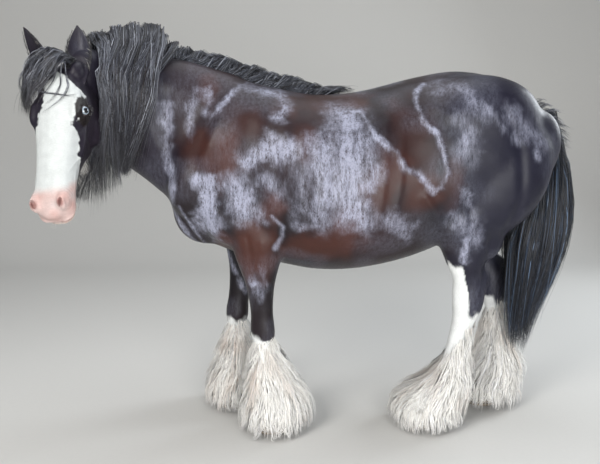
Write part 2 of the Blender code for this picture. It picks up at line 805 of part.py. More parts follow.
def mane_locks(rng, surface):
    """Long locks from the crest: to the near side by the poll, and to the far side all along."""
    locks = []
    for k in range(MANE_FAR_LOCKS):
        share = (k + 0.5) / MANE_FAR_LOCKS
        crest, along, left = crest_point(0.20 + 0.775 * share, surface)
        rise = 0.030 + 0.075 * share
        first = crest - Vector((0, 0, 0.012)) + left * 0.012
        second = crest + Vector((0, 0, rise)) - left * 0.012 + along * rng.uniform(-0.02, 0.02)
        layer = 0.014 + 0.012 * (k % 2)
        length = 0.16 + 0.48 * share + rng.uniform(-0.04, 0.05)
        points, outs = falling(second, -left + along * rng.uniform(-0.3, 0.1), length, surface, layer, 4, 0.9)
        locks.append(lock([first, *points], [left, *outs], 0.115 * rng.uniform(0.9, 1.1), 0.026))
    for k in range(MANE_NEAR_LOCKS):
        share = (k + 0.5) / MANE_NEAR_LOCKS
        crest, along, left = crest_point(0.83 + 0.17 * share, surface)
        rise = 0.085 + 0.03 * math.sin(math.pi * share)
        first = crest - Vector((0, 0, 0.012)) - left * 0.012
        second = crest + Vector((0, 0, rise)) + left * 0.015 + along * rng.uniform(-0.02, 0.02)
        layer = 0.014 + 0.012 * (k % 2)
        length = 0.38 + 0.10 * share + rng.uniform(-0.05, 0.05)
        points, outs = falling(second, left + along * rng.uniform(-0.1, 0.12), length, surface, layer, 4, 0.8)
        locks.append(lock([first, *points], [-left, *outs], 0.080 * rng.uniform(0.9, 1.1), 0.024))
    return locks


def forelock(rng, surface):
    """Locks from between the ears down the far side of the forehead."""
    frame = head_frame()
    turn = frame.to_3x3()
    locks = []
    for k in range(FORELOCK_LOCKS):
        share = (k + 0.5) / FORELOCK_LOCKS
        start = frame @ Vector((0.015, 0.055 - 0.11 * share, -0.01))
        lift = frame @ Vector((0.02, 0.050 - 0.12 * share, 0.085))
        heading = turn @ Vector((0.75, -0.20 - 0.55 * share + 0.35 * (k == 1), 0.15))
        length = 0.19 + 0.10 * share + rng.uniform(-0.02, 0.03)
        layer = 0.010 + 0.010 * (k % 2)
        points, outs = falling(lift, heading, length, surface, layer, 4, 0.5)
        locks.append(lock([start, *points], [outs[0], *outs], 0.052 * rng.uniform(0.85, 1.15), 0.018))
    return locks


# The nodes.


def cut_clear(obj, gap, *others):
    """Takes out of obj what lies in the others or nearer to them than the gap."""
    for other in others:
        combine(obj, [swollen(other, "around", gap)], "DIFFERENCE")
    return obj


def grown(body, locks, *others):
    """The body and its locks as one closed surface, with the hair clear of the other nodes."""
    facets = LOCK_FACETS * len(locks)
    hair = thin_out(combine(locks[0], locks[1:], "UNION"), facets)
    cut_clear(hair, HAIR_GAP, *others)
    combine(body, [hair], "UNION")
    return largest_surface(body)


def hull_of(obj, name):
    """The convex body around obj."""
    bm = bmesh.new()
    bm.from_mesh(obj.data)
    found = bmesh.ops.convex_hull(bm, input=bm.verts)
    hull = set(found["geom"])
    bmesh.ops.delete(bm, geom=[f for f in bm.faces if f not in hull], context="FACES_ONLY")
    bmesh.ops.delete(bm, geom=[e for e in bm.edges if not e.link_faces], context="EDGES")
    bmesh.ops.delete(bm, geom=[v for v in bm.verts if not v.link_faces], context="VERTS")
    return object_from_bmesh(name, bm)


def leg_box(kind, side, top, name):
    """The space of one leg under a height."""
    low_f, high_f = (0.24, 0.75) if kind == "fore" else (-0.95, -0.16)
    a, b = spot(high_f, 0.0, -0.1), spot(low_f, SIDES[side] * 0.40, top)
    return box(name, [min(x) for x in zip(a, b)], [max(x) for x in zip(a, b)])


def take_legs(flesh):
    """Cuts the legs off the flesh, each as an upper and a lower piece on its hoof."""
    made = {}
    for kind, top, cannon in (
        ("fore", FORELEG_TOP, FORE_CANNON_TOP), ("hind", HINDLEG_TOP, HIND_CANNON_TOP),
    ):
        for side in SIDES:
            whole = copy_of(flesh, "leg")
            combine(whole, [leg_box(kind, side, top, "space")], "INTERSECT")
            combine(flesh, [leg_box(kind, side, top + CUT_GAP, "space")], "DIFFERENCE")
            lower = copy_of(whole, "lower")
            keep_side(whole, Vector((0, 0, cannon + CUT_GAP)), Vector((0, 0, 1)))
            keep_side(lower, Vector((0, 0, cannon)), Vector((0, 0, -1)))
            keep_side(lower, Vector((0, 0, HOOF_HEIGHT + CUT_GAP)), Vector((0, 0, 1)))
            made["%sleg_%s" % (kind, side)] = whole
            made["lower_%sleg_%s" % (kind, side)] = lower
            made["hoof_%s_%s" % (kind, side)] = hoof(kind, side)
    return made


def horse():
    """All the nodes by name."""
    rng = random.Random(HAIR_SEED)
    flesh, head = whole_trunk(), whole_head()
    surface = tree_of([flesh, head])
    skull = tree_of([head])
    thin_out(flesh, TRUNK_FACETS + 4 * (LEG_FACETS + CANNON_FACETS) + NECK_FACETS)
    thin_out(head, HEAD_FACETS)
    combine(head, [*nostril_hollows(), mouth_groove(head)], "DIFFERENCE")
    nodes = take_legs(flesh)
    point, normal = spot(*NECK_CUT_AT), spot(*NECK_CUT_NORMAL).normalized()
    neck = keep_side(copy_of(flesh, "neck"), point + normal * CUT_GAP, normal)
    nodes["torso"] = keep_side(flesh, point, -normal)
    for side in SIDES:
        nodes["eye_" + side] = eyeball(side, EYE_RADIUS, "eye")
        combine(head, [eyeball(side, EYE_RADIUS + CUT_GAP, "socket")], "DIFFERENCE")
    largest_surface(head)
    for side in SIDES:
        nodes["ear_" + side] = largest_surface(cut_clear(ear(side), CUT_GAP, head))
    ears = [hull_of(nodes["ear_" + side], "ear_space") for side in SIDES]
    cut_clear(neck, CUT_GAP, head, *ears)
    nodes["head"] = grown(head, forelock(rng, skull), *ears, nodes["eye_left"], nodes["eye_right"])
    nodes["neck"] = grown(neck, mane_locks(rng, surface), head, nodes["torso"], *ears)
    remove(*ears)
    for kind in ("fore", "hind"):
        for side in SIDES:
            name = "lower_%sleg_%s" % (kind, side)
            above, below = nodes["%sleg_%s" % (kind, side)], nodes["hoof_%s_%s" % (kind, side)]
            nodes[name] = grown(nodes[name], feather(kind, side, rng), above, below)
    tail = cut_clear(dock(), CUT_GAP, nodes["torso"])
    hind = (nodes["torso"], nodes["hindleg_left"], nodes["hindleg_right"])
    nodes["tail"] = grown(tail, tail_locks(rng), *hind)
    return nodes


# sRGB hex, roughness
FINISHES = {
    "coat": ("#241b1c", 0.45),
    "hair": ("#15151b", 0.55),
    "feather": ("#d9d4c6", 0.75),
    "horn": ("#8f8676", 0.40),
    "eye": ("#9fb4c0", 0.08),
}


def linear(hex_colour):
    values = [int(hex_colour[i:i + 2], 16) / 255 for i in (1, 3, 5)]
    return [v / 12.92 if v <= 0.04045 else ((v + 0.055) / 1.055) ** 2.4 for v in values] + [1.0]


def finish_of(name):
    for part, finish in (("eye", "eye"), ("hoof", "horn"), ("lower", "feather"), ("tail", "hair")):
        if name.startswith(part):
            return finish
    return "coat"


def paint(obj, finish):
    colour, rough = FINISHES[finish]
    material = bpy.data.materials.new(obj.name + "_" + finish)
    material.use_nodes = True
    shader = material.node_tree.nodes["Principled BSDF"]
    shader.inputs["Base Color"].default_value = linear(colour)
    shader.inputs["Roughness"].default_value = rough
    shader.inputs["Metallic"].default_value = 0.0
    material.diffuse_color = linear(colour)
    obj.data.materials.clear()
    obj.data.materials.append(material)


def set_over_middle(objects):
    """Moves the model so that it stands on the floor over the middle of its box."""
    corners = np.array([v.co[:] for obj in objects for v in obj.data.vertices])
    low, high = corners.min(axis=0), corners.max(axis=0)
    shift = Matrix.Translation((-(low[0] + high[0]) / 2, -(low[1] + high[1]) / 2, -low[2]))
    for obj in objects:
        obj.data.transform(shift)


def main():
    for obj in list(bpy.data.objects):
        bpy.data.objects.remove(obj)
    nodes = horse()
    for name, obj in nodes.items():
        obj.name = name
        obj.data.name = name
        paint(obj, finish_of(name))
    set_over_middle(list(nodes.values()))


main()
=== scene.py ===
"""A life-size gypsy vanner horse with long mane, forelock, tail and feathered legs, in a plain studio.

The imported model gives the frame. One skin covers the flesh, just inside the solids, and the coat, mane,
forelock, tail, feather and whiskers are solid meshes over it. Flesh and hair are worked out in the horse's
own frame, with the floor's middle under the trunk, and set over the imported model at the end.
"""

import json
import math

import bmesh
import bpy
import numpy as np
from mathutils import Matrix, Vector
from mathutils.bvhtree import BVHTree

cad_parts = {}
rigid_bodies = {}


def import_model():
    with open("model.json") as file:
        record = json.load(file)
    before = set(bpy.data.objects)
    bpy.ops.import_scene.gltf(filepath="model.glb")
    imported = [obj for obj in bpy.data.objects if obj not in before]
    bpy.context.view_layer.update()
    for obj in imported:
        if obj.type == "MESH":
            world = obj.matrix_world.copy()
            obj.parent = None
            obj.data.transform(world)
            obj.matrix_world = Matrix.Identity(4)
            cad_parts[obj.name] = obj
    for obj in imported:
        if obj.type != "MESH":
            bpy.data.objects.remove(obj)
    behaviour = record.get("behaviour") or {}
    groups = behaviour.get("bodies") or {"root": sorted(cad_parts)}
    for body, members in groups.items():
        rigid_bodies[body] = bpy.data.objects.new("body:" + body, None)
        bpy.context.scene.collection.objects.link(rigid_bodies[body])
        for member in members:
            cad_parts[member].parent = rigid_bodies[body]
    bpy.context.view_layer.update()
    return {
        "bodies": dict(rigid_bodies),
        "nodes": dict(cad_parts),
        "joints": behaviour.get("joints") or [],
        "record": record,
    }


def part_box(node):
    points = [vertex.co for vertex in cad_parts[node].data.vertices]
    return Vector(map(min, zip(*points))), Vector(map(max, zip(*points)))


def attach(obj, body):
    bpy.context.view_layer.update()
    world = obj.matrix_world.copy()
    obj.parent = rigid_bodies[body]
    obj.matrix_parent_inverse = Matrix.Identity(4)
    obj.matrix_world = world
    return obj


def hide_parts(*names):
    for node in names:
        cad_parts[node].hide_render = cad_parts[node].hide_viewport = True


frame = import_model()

# Driving sizes of the animal, in metres.
HEAD_LENGTH = 0.556
EAR_LENGTH = 0.176
EYE_RADIUS = 0.0215

# How far the skin lies inside the solids: the depth of the short coat on the body and on the head.
COAT_DEPTH = 0.004
FACE_COAT_DEPTH = 0.0015

# How the head is held: where the poll is, and its turn, tilt and lean in degrees.
POLL = (1.102, 0.341, 1.463)
HEAD_YAW = 74.0
HEAD_PITCH = 63.5
HEAD_ROLL = 7.0

# In the head's own frame, as along, out and up: the way each ear points, and how far out its root lies.
EAR_WAYS = {"left": (-1.0, -0.15, -0.05), "right": (-1.0, 0.05, 0.88)}
EAR_APART = {"left": 0.122, "right": -0.138}

# Fineness of the flesh in metres, and the triangles that its skin keeps.
TRUNK_VOXEL = 0.014
FLESH_VOXEL = 0.009
FLESH_FINE_VOXEL = 0.0062
HEAD_VOXEL = 0.0055
FACE_VOXEL = 0.0026
BODY_FACETS = 200000
FACE_FACETS = 130000

# How many points run along a strand of long hair and of feather.
LONG_POINTS = 10
FEATHER_POINTS = 7

# How far long hair stays from the skin and from the floor, and the seed of everything drawn at random.
HAIR_GAP = 0.002
FLOOR_GAP = 0.004
SEED = 11

SIDES = {"left": 1, "right": -1}
LEGS = [(kind, side) for kind in ("fore", "hind") for side in SIDES]


def spot(forward, left, up):
    """A place in the horse's own frame: it faces -X, and its left side is towards -Y."""
    return Vector((-forward, -left, up))


def new_object(name, mesh):
    obj = bpy.data.objects.new(name, mesh)
    bpy.context.scene.collection.objects.link(obj)
    return obj


def object_from_bmesh(name, bm):
    """An object from the faces of bm, all turned outwards."""
    bmesh.ops.recalc_face_normals(bm, faces=bm.faces)
    mesh = bpy.data.meshes.new(name)
    bm.to_mesh(mesh)
    bm.free()
    return new_object(name, mesh)


def remove(*objects):
    for obj in objects:
        bpy.data.objects.remove(obj)


def bake_modifiers(obj):
    """Gives obj the mesh that its modifiers make, and takes the modifiers off."""
    graph = bpy.context.evaluated_depsgraph_get()
    graph.update()
    mesh = bpy.data.meshes.new_from_object(obj.evaluated_get(graph))
    obj.modifiers.clear()
    obj.data = mesh
    return obj


def on_curve(before, a, b, after, t):
    """The place at the share t from a to b, on a smooth curve that also passes through before and after."""
    return 0.5 * (2 * a + (b - before) * t + (2 * before - 5 * a + 4 * b - after) * t**2
                  + (3 * a - before - 3 * b + after) * t**3)


def smooth_rows(rows, steps):
    """The rows of numbers with steps - 1 more between each two, on a smooth curve through them."""
    rows = np.array(rows, float)
    ends = np.vstack([2 * rows[0] - rows[1], rows, 2 * rows[-1] - rows[-2]])
    made = []
    for before, a, b, after in zip(ends, ends[1:], ends[2:], ends[3:]):
        made += [on_curve(before, a, b, after, t) for t in np.arange(steps) / steps]
    made.append(rows[-1])
    return np.array(made)


def loft(name, rings):
    """A closed skin over rings of the same number of points."""
    bm = bmesh.new()
    loops = [[bm.verts.new(p) for p in ring] for ring in rings]
    count = len(loops[0])
    for a, b in zip(loops, loops[1:]):
        for i in range(count):
            j = (i + 1) % count
            bm.faces.new((a[i], a[j], b[j], b[i]))
    bm.faces.new(loops[0])
    bm.faces.new(loops[-1])
    return object_from_bmesh(name, bm)


def rounded(angle, power):
    """The cosine and sine of a superellipse: 2 is round and more is squarer."""
    c, s = math.cos(angle), math.sin(angle)
    return (math.copysign(abs(c) ** (2 / power), c), math.copysign(abs(s) ** (2 / power), s))


def tube(name, rows, hint, sides=24, steps=4, power=2.2):
    """A limb over rows of forward, left, up, half depth along hint, and half width across it."""
    rows = smooth_rows(rows, steps)
    centres = [spot(*row[:3]) for row in rows]
    rings = []
    for i, row in enumerate(rows):
        along = (centres[min(i + 1, len(rows) - 1)] - centres[max(i - 1, 0)]).normalized()
        across = along.cross(hint).normalized()
        depth = across.cross(along)
        rings.append([
            centres[i] + depth * (row[3] * c) + across * (row[4] * s)
            for c, s in (rounded(2 * math.pi * k / sides, power) for k in range(sides))
        ])
    return loft(name, rings)


def ellipsoid(name, centre, radii, turn=Matrix.Identity(3)):
    """A ball with three radii, turned and then set at its centre."""
    bm = bmesh.new()
    bmesh.ops.create_icosphere(bm, subdivisions=3, radius=1)
    for vert in bm.verts:
        vert.co = centre + turn @ Vector(a * r for a, r in zip(vert.co, radii))
    return object_from_bmesh(name, bm)


def join(name, objects):
    """One object with the faces of all the objects, which it takes the place of."""
    bm = bmesh.new()
    for obj in objects:
        bm.from_mesh(obj.data)
    remove(*objects)
    mesh = bpy.data.meshes.new(name)
    bm.to_mesh(mesh)
    bm.free()
    return new_object(name, mesh)


def fuse(name, objects, voxel, rounds):
    """One skin over all the objects, with the creases between them smoothed."""
    obj = join(name, objects)
    remesh = obj.modifiers.new("Remesh", "REMESH")
    remesh.mode = "VOXEL"
    remesh.voxel_size = voxel
    smooth = obj.modifiers.new("Smooth", "SMOOTH")
    smooth.factor = 0.5
    smooth.iterations = rounds
    return bake_modifiers(obj)


def thin_out(obj, facets):
    """Fewer, larger facets, close to the number asked for."""
    count = sum(len(p.vertices) - 2 for p in obj.data.polygons)
    if count > facets:
        decimate = obj.modifiers.new("Decimate", "DECIMATE")
        decimate.ratio = facets / count
        decimate.use_collapse_triangulate = True
        bake_modifiers(obj)
    return obj


def combine(obj, others, operation):
    """Applies one Boolean of obj with all the others, and removes them."""
    group = bpy.data.collections.new("Pieces")
    for other in others:
        group.objects.link(other)
    boolean = obj.modifiers.new("Boolean", "BOOLEAN")
    boolean.operation = operation
    boolean.operand_type = "COLLECTION"
    boolean.collection = group
    boolean.solver = "MANIFOLD"
    bake_modifiers(obj)
    remove(*others)
    bpy.data.collections.remove(group)
    return obj


def largest_surface(obj):
    """Keeps only the largest closed surface of the mesh, without faces that lie back to back."""
    bm = bmesh.new()
    bm.from_mesh(obj.data)
    bmesh.ops.triangulate(bm, faces=bm.faces)
    twins = {}
    for face in bm.faces:
        twins.setdefault(frozenset(face.verts), []).append(face)
    doubled = [face for faces in twins.values() if len(faces) > 1 for face in faces]
    bmesh.ops.delete(bm, geom=doubled, context="FACES")
    unseen, groups = set(bm.faces), []
    while unseen:
        group, found = [], [unseen.pop()]
        while found:
            face = found.pop()
            group.append(face)
            for edge in face.edges:
                for other in edge.link_faces:
                    if other in unseen:
                        unseen.remove(other)
                        found.append(other)
        groups.append(group)
    groups.sort(key=lambda group: sum(face.calc_area() for face in group))
    for group in groups[:-1]:
        bmesh.ops.delete(bm, geom=group, context="FACES")
    bm.to_mesh(obj.data)
    bm.free()
    return obj


# The flesh.

# forward, top, bottom, half width, height of the widest point
TRUNK_ROWS = (
    (-0.765, 1.215, 1.115, 0.06, 1.165),
    (-0.735, 1.310, 1.045, 0.14, 1.165),
    (-0.65, 1.390, 0.965, 0.225, 1.165),
    (-0.54, 1.445, 0.865, 0.280, 1.165),
    (-0.38, 1.470, 0.775, 0.297, 1.125),
    (-0.20, 1.440, 0.700, 0.305, 1.055),
    (0.00, 1.390, 0.657, 0.325, 1.005),
    (0.18, 1.375, 0.653, 0.325, 1.015),
    (0.33, 1.400, 0.680, 0.295, 1.035),
    (0.46, 1.425, 0.707, 0.255, 1.045),
    (0.58, 1.410, 0.750, 0.235, 1.045),
    (0.69, 1.305, 0.810, 0.200, 1.035),
    (0.76, 1.165, 0.895, 0.145, 1.025),
    (0.785, 1.085, 0.955, 0.07, 1.015),
)

# forward, left, up, half depth, half width
NECK_ROWS = (
    (0.40, 0.00, 1.115, 0.26, 0.17),
    (0.60, 0.00, 1.180, 0.292, 0.168),
    (0.74, 0.01, 1.250, 0.268, 0.148),
    (0.87, 0.06, 1.310, 0.230, 0.122),
    (0.97, 0.145, 1.360, 0.186, 0.102),
    (1.04, 0.25, 1.400, 0.142, 0.086),
    (1.07, 0.335, 1.420, 0.105, 0.070),
)
CREST = (-0.36, 0.0, 0.93)

# How far each joint of a leg lies forward and out from the middle: shoulder or hip side first.
JOINTS = {
    ("fore", "left"): ((0.415, 0.172), (0.400, 0.142), (0.350, 0.134), (0.352, 0.134)),
    ("fore", "right"): ((0.47, 0.172), (0.520, 0.142), (0.510, 0.134), (0.520, 0.134)),
    ("hind", "left"): ((-0.395, 0.175), (-0.440, 0.138), (-0.350, 0.112), (-0.278, 0.100)),
    ("hind", "right"): ((-0.42, 0.175), (-0.640, 0.142), (-0.650, 0.130), (-0.600, 0.126)),
}

# up, share of the way from one joint to the next with the joint's number, half depth, half width
LEG_ROWS = {"fore": (
    (0.965, 0.0, 0.130, 0.060),
    (0.825, 0.0, 0.118, 0.078),
    (0.725, 0.2, 0.094, 0.068),
    (0.615, 0.5, 0.062, 0.052),
    (0.505, 0.8, 0.050, 0.045),
    (0.440, 0.95, 0.054, 0.050),
    (0.400, 1.05, 0.052, 0.049),
    (0.355, 1.15, 0.043, 0.038),
    (0.265, 1.5, 0.038, 0.033),
    (0.205, 1.85, 0.043, 0.036),
    (0.165, 2.0, 0.052, 0.043),
    (0.125, 2.4, 0.046, 0.042),
    (0.095, 2.8, 0.056, 0.054),
    (0.07, 3.0, 0.062, 0.060),
), "hind": (
    (1.025, 0.0, 0.150, 0.070),
    (0.905, 0.0, 0.142, 0.088),
    (0.805, 0.25, 0.112, 0.076),
    (0.715, 0.5, 0.084, 0.060),
    (0.640, 0.8, 0.064, 0.047),
    (0.575, 1.0, 0.072, 0.050),
    (0.515, 1.05, 0.066, 0.050),
    (0.445, 1.2, 0.050, 0.042),
    (0.315, 1.55, 0.041, 0.036),
    (0.215, 1.85, 0.045, 0.038),
    (0.17, 2.0, 0.054, 0.045),
    (0.125, 2.4, 0.047, 0.043),
    (0.095, 2.8, 0.056, 0.054),
    (0.07, 3.0, 0.062, 0.060),
)}


def trunk_loft():
    """The barrel from the buttocks to the breast."""
    rings = []
    for forward, top, bottom, half, middle in smooth_rows(TRUNK_ROWS, 4):
        ring = []
        for k in range(40):
            c, s = rounded(2 * math.pi * k / 40, 2.25)
            reach = top - middle if s > 0 else middle - bottom
            ring.append(spot(forward, half * c, middle + reach * s))
        rings.append(ring)
    return loft("trunk", rings)


def muscles():
    """Shoulder, upper arm, chest, rump, thigh and stifle, on both sides."""
    made = []
    for side in SIDES.values():
        for name, place, radii, pitch in (
            ("blade", (0.525, 0.140, 1.125), (0.150, 0.110, 0.235), 26),
            ("shoulder_point", (0.645, 0.140, 1.015), (0.125, 0.092, 0.150), 20),
            ("upper_arm", (0.47, 0.168, 0.915), (0.170, 0.092, 0.150), -14),
            ("breast", (0.625, 0.080, 0.910), (0.140, 0.088, 0.145), 16),
            ("rump", (-0.42, 0.128, 1.255), (0.29, 0.165, 0.195), -8),
            ("thigh", (-0.540, 0.165, 1.045), (0.195, 0.118, 0.265), 30),
            ("buttock", (-0.675, 0.105, 1.155), (0.125, 0.105, 0.170), 16),
            ("stifle", (-0.385, 0.178, 0.895), (0.125, 0.088, 0.135), 20),
            ("ham", (-0.487 if side > 0 else -0.540, 0.148, 0.790), (0.092, 0.058, 0.100), 30),
        ):
            forward, out, up = place
            turn = Matrix.Rotation(math.radians(pitch), 3, "Y")
            made.append(ellipsoid(name, spot(forward, side * out, up), radii, turn))
    return made


def joint_line(kind, side, along):
    """How far forward and left the middle of a leg lies, at a place along its joints."""
    joints = JOINTS[kind, side]
    a = min(int(along), len(joints) - 2)
    share = along - a
    forward = joints[a][0] * (1 - share) + joints[a + 1][0] * share
    out = joints[a][1] * (1 - share) + joints[a + 1][1] * share
    return forward, SIDES[side] * out


def leg(kind, side):
    """One leg from inside the trunk down to the coronet, in its stance."""
    made = [(*joint_line(kind, side, along), up, depth, width) for up, along, depth, width in LEG_ROWS[kind]]
    return tube("leg", made, spot(1, 0, 0), sides=20)


def leg_axis(kind, side, up):
    """The middle of a leg at a height over the floor, as forward and left."""
    rows = LEG_ROWS[kind][::-1]
    return joint_line(kind, side, float(np.interp(up, [row[0] for row in rows], [row[1] for row in rows])))


def hock_point(side):
    """The heel bone behind the hock with the tendon that runs up from it."""
    forward, out = JOINTS["hind", side][1]
    upper = JOINTS["hind", side][0][0]
    left = SIDES[side] * out
    return tube("heel", (
        (upper * 0.7 + forward * 0.3 - 0.060, left * 1.05, 0.785, 0.030, 0.030),
        (upper * 0.36 + forward * 0.64 - 0.062, left, 0.685, 0.021, 0.018),
        (forward - 0.058, left, 0.617, 0.026, 0.025),
        (forward - 0.040, left, 0.570, 0.030, 0.028),
        (forward - 0.020, left, 0.505, 0.026, 0.026),
    ), spot(1, 0, 0), sides=14)


# The head in its own frame: along the face from the poll to the lips, out to its left, and up off the face.
# along, top, bottom, half widths high, at mid height and low, for a head of unit length
HEAD_ROWS = (
    (-0.04, -0.050, -0.255, 0.088, 0.108, 0.072),
    (0.03, 0.005, -0.325, 0.118, 0.134, 0.086),
    (0.13, 0.038, -0.435, 0.150, 0.154, 0.102),
    (0.24, 0.052, -0.490, 0.172, 0.162, 0.110),
    (0.34, 0.048, -0.480, 0.176, 0.156, 0.108),
    (0.44, 0.034, -0.405, 0.156, 0.150, 0.094),
    (0.56, 0.014, -0.325, 0.134, 0.138, 0.080),
    (0.69, -0.002, -0.268, 0.120, 0.128, 0.078),
    (0.81, -0.012, -0.243, 0.118, 0.130, 0.082),
    (0.90, -0.028, -0.238, 0.116, 0.138, 0.090),
    (0.965, -0.066, -0.228, 0.094, 0.122, 0.086),
    (1.0, -0.115, -0.200, 0.054, 0.082, 0.062),
)
# In that frame: the middles of the left eye and nostril, the eye's slant in degrees, and the mouth's height.
EYE_AT = (0.325, 0.163, -0.060)
NOSTRIL_AT = (0.926, 0.092, -0.042)
EYE_SLANT = 18.0
MOUTH_HEIGHT = -0.176


def on_side(place, side):
    """A place given for the left side, as along, out and up, on the side with that sign."""
    return place[0], side * place[1], place[2]


def head_frame():
    """The matrix that sets the head's own frame, in head lengths, in the world."""
    yaw, pitch = math.radians(HEAD_YAW), math.radians(HEAD_PITCH)
    level = spot(math.cos(yaw), math.sin(yaw), 0)
    along = level * math.cos(pitch) - Vector((0, 0, math.sin(pitch)))
    up = level * math.sin(pitch) + Vector((0, 0, math.cos(pitch)))
    left = up.cross(along)
    roll = Matrix.Rotation(math.radians(HEAD_ROLL), 3, level)
    turn = Matrix((roll @ along, roll @ left, roll @ up)).transposed()
    return Matrix.Translation(spot(*POLL)) @ turn.to_4x4() @ Matrix.Scale(HEAD_LENGTH, 4)


def head_section(row):
    """A ring of the head: a smooth closed curve through its top, brow, cheek, jaw and bottom."""
    along, top, bottom, high, middle, low = row
    depth = top - bottom
    half = ((0, top), (high * 0.72, top - 0.06 * depth), (high, top - 0.22 * depth),
            (middle, top - 0.48 * depth), (low, top - 0.82 * depth), (low * 0.5, top - 0.975 * depth))
    points = list(half) + [(0, bottom)] + [(-w, h) for w, h in reversed(half[1:])]
    closed = np.array([points[-1]] + points + points[:2])
    ring = []
    for before, a, b, after in zip(closed, closed[1:], closed[2:], closed[3:]):
        ring += [Vector((along, *on_curve(before, a, b, after, t))) for t in (0, 0.5)]
    return ring


def head_forms():
    """The skull with its cheeks, brows, face bones, nostrils, lips and chin, in the head's own frame."""
    made = [loft("skull", [head_section(row) for row in smooth_rows(HEAD_ROWS, 4)])]
    made.append(ellipsoid("forehead", Vector((0.19, 0, 0.006)), (0.17, 0.130, 0.050)))
    made.append(ellipsoid("nose_tip", Vector((0.940, 0, -0.115)), (0.070, 0.096, 0.066)))
    made.append(ellipsoid("chin", Vector((0.885, 0, -0.232)), (0.075, 0.078, 0.042)))
    made.append(ellipsoid("lower_lip", Vector((0.955, 0, -0.202)), (0.045, 0.084, 0.028)))
    for side in SIDES.values():
        for name, centre, radii, tip in (
            ("cheek", (0.265, 0.108, -0.285), (0.180, 0.058, 0.170), 0),
            ("brow", (0.305, 0.140, -0.018), (0.110, 0.040, 0.044), -6),
            ("eye_bed", (0.335, 0.150, -0.062), (0.090, 0.038, 0.064), 0),
            ("face_bone", (0.47, 0.143, -0.112), (0.160, 0.022, 0.028), 3),
            ("nostril", (0.885, 0.094, -0.086), (0.086, 0.044, 0.064), -20),
            ("ear_root", (0.055, 0.110, -0.044), (0.082, 0.050, 0.072), 0),
        ):
            turn = Matrix.Rotation(math.radians(tip), 3, "Y")
            made.append(ellipsoid(name, Vector(on_side(centre, side)), radii, turn))
        made += lids(side)
    return made


def cord(name, points, radii, sides=10):
    """A round strand along points, with closed ends."""
    rings = []
    side = None
    for i, point in enumerate(points):
        along = (points[min(i + 1, len(points) - 1)] - points[max(i - 1, 0)]).normalized()
        side = along.orthogonal() if side is None else side - along * side.dot(along)
        side.normalize()
        other = along.cross(side)
        angles = [2 * math.pi * k / sides for k in range(sides)]
        rings.append([point + (side * math.cos(a) + other * math.sin(a)) * radii[i] for a in angles])
    return loft(name, rings)


def eye_axes(side):
    """Towards the nose along the slit of the eye, up across it, and out of the head."""
    slant = math.radians(EYE_SLANT)
    out = Vector((0.22, side, 0.50)).normalized()
    nose = Vector((math.cos(slant), 0, -math.sin(slant)))
    nose = (nose - out * nose.dot(out)).normalized()
    return nose, out.cross(nose) * side, out


def lids(side):
    """The upper and lower lid, bent round the eyeball, in the head's own frame."""
    radius = EYE_RADIUS / HEAD_LENGTH
    centre = Vector(on_side(EYE_AT, side))
    nose, up, out = eye_axes(side)
    made = []
    for height, thick in ((0.78, 0.24), (-0.66, 0.20)):
        points, radii = [], []
        for k in range(13):
            t = k / 6 - 1
            x, y = 1.06 * t * radius, height * radius * (1 - abs(t) ** 2.4)
            z = math.sqrt(max((1.08 * radius) ** 2 - x * x - y * y, 0.0))
            points.append(centre + nose * x + up * y + out * z)
            radii.append(radius * thick * (1 - 0.35 * t * t))
        made.append(cord("lid", points, radii))
    return made


def eye_openings():
    """What is cut from the flesh in front of the eyes, so that they look out between their lids."""
    radius = EYE_RADIUS / HEAD_LENGTH
    made = []
    for side in SIDES.values():
        nose, up, out = eye_axes(side)
        turn = Matrix((nose, up, out)).transposed()
        centre = Vector(on_side(EYE_AT, side)) + out * (1.20 * radius)
        made.append(ellipsoid("opening", centre, (1.02 * radius, 0.74 * radius, 0.72 * radius), turn))
    return put_in_world(made)


def put_in_world(objects):
    """Takes the objects from the head's own frame to the horse's."""
    for obj in objects:
        obj.data.transform(head_frame())
    return objects


def eyeball(side, radius, name):
    """A plain ball at the place of an eye."""
    bm = bmesh.new()
    bmesh.ops.create_icosphere(bm, subdivisions=2, radius=radius)
    centre = head_frame() @ Vector(on_side(EYE_AT, SIDES[side]))
    bmesh.ops.translate(bm, verts=bm.verts, vec=centre)
    return object_from_bmesh(name, bm)


def nostril_hollows():
    """The openings of the nostrils, to be cut out of the head."""
    made = []
    for side in SIDES.values():
        turn = Matrix.Rotation(side * math.radians(-18), 3, "Z") @ Matrix.Rotation(math.radians(30), 3, "Y")
        centre = Vector(on_side(NOSTRIL_AT, side))
        made.append(ellipsoid("hollow", centre, (0.031, 0.012, 0.018), turn))
    return put_in_world(made)


def ear_axes(side):
    """The root of an ear in the head's own frame, and the ways along it, across it and out of its hollow."""
    out = SIDES[side]
    along = Vector(EAR_WAYS[side]).normalized()
    front = Vector((0.30, out * 0.35, 0.90))
    front = (front - along * front.dot(along)).normalized()
    return Vector((0.040, EAR_APART[side], -0.030)), along, along.cross(front), front


def mouth_groove(head):
    """A thin strand along the skin between the lips, to be cut out of the head."""
    surface = tree_of([head])
    frame = head_frame()
    points = []
    for k in range(17):
        angle = math.radians(-98 + 196 * k / 16)
        start = Vector((0.90, 0, MOUTH_HEIGHT))
        if abs(angle) > math.radians(70):
            start.x = 0.90 - 0.10 * (abs(angle) - math.radians(70)) / math.radians(28)
        way = Vector((math.cos(angle), math.sin(angle), 0))
        origin = frame @ start
        hit = surface.ray_cast(origin, (frame.to_3x3() @ way).normalized(), 0.2)[0]
        points.append(hit if hit else origin + frame.to_3x3() @ way * 0.1)
    radii = [0.0034 if 0 < k < 16 else 0.002 for k in range(17)]
    return cord("groove", points, radii, 6)


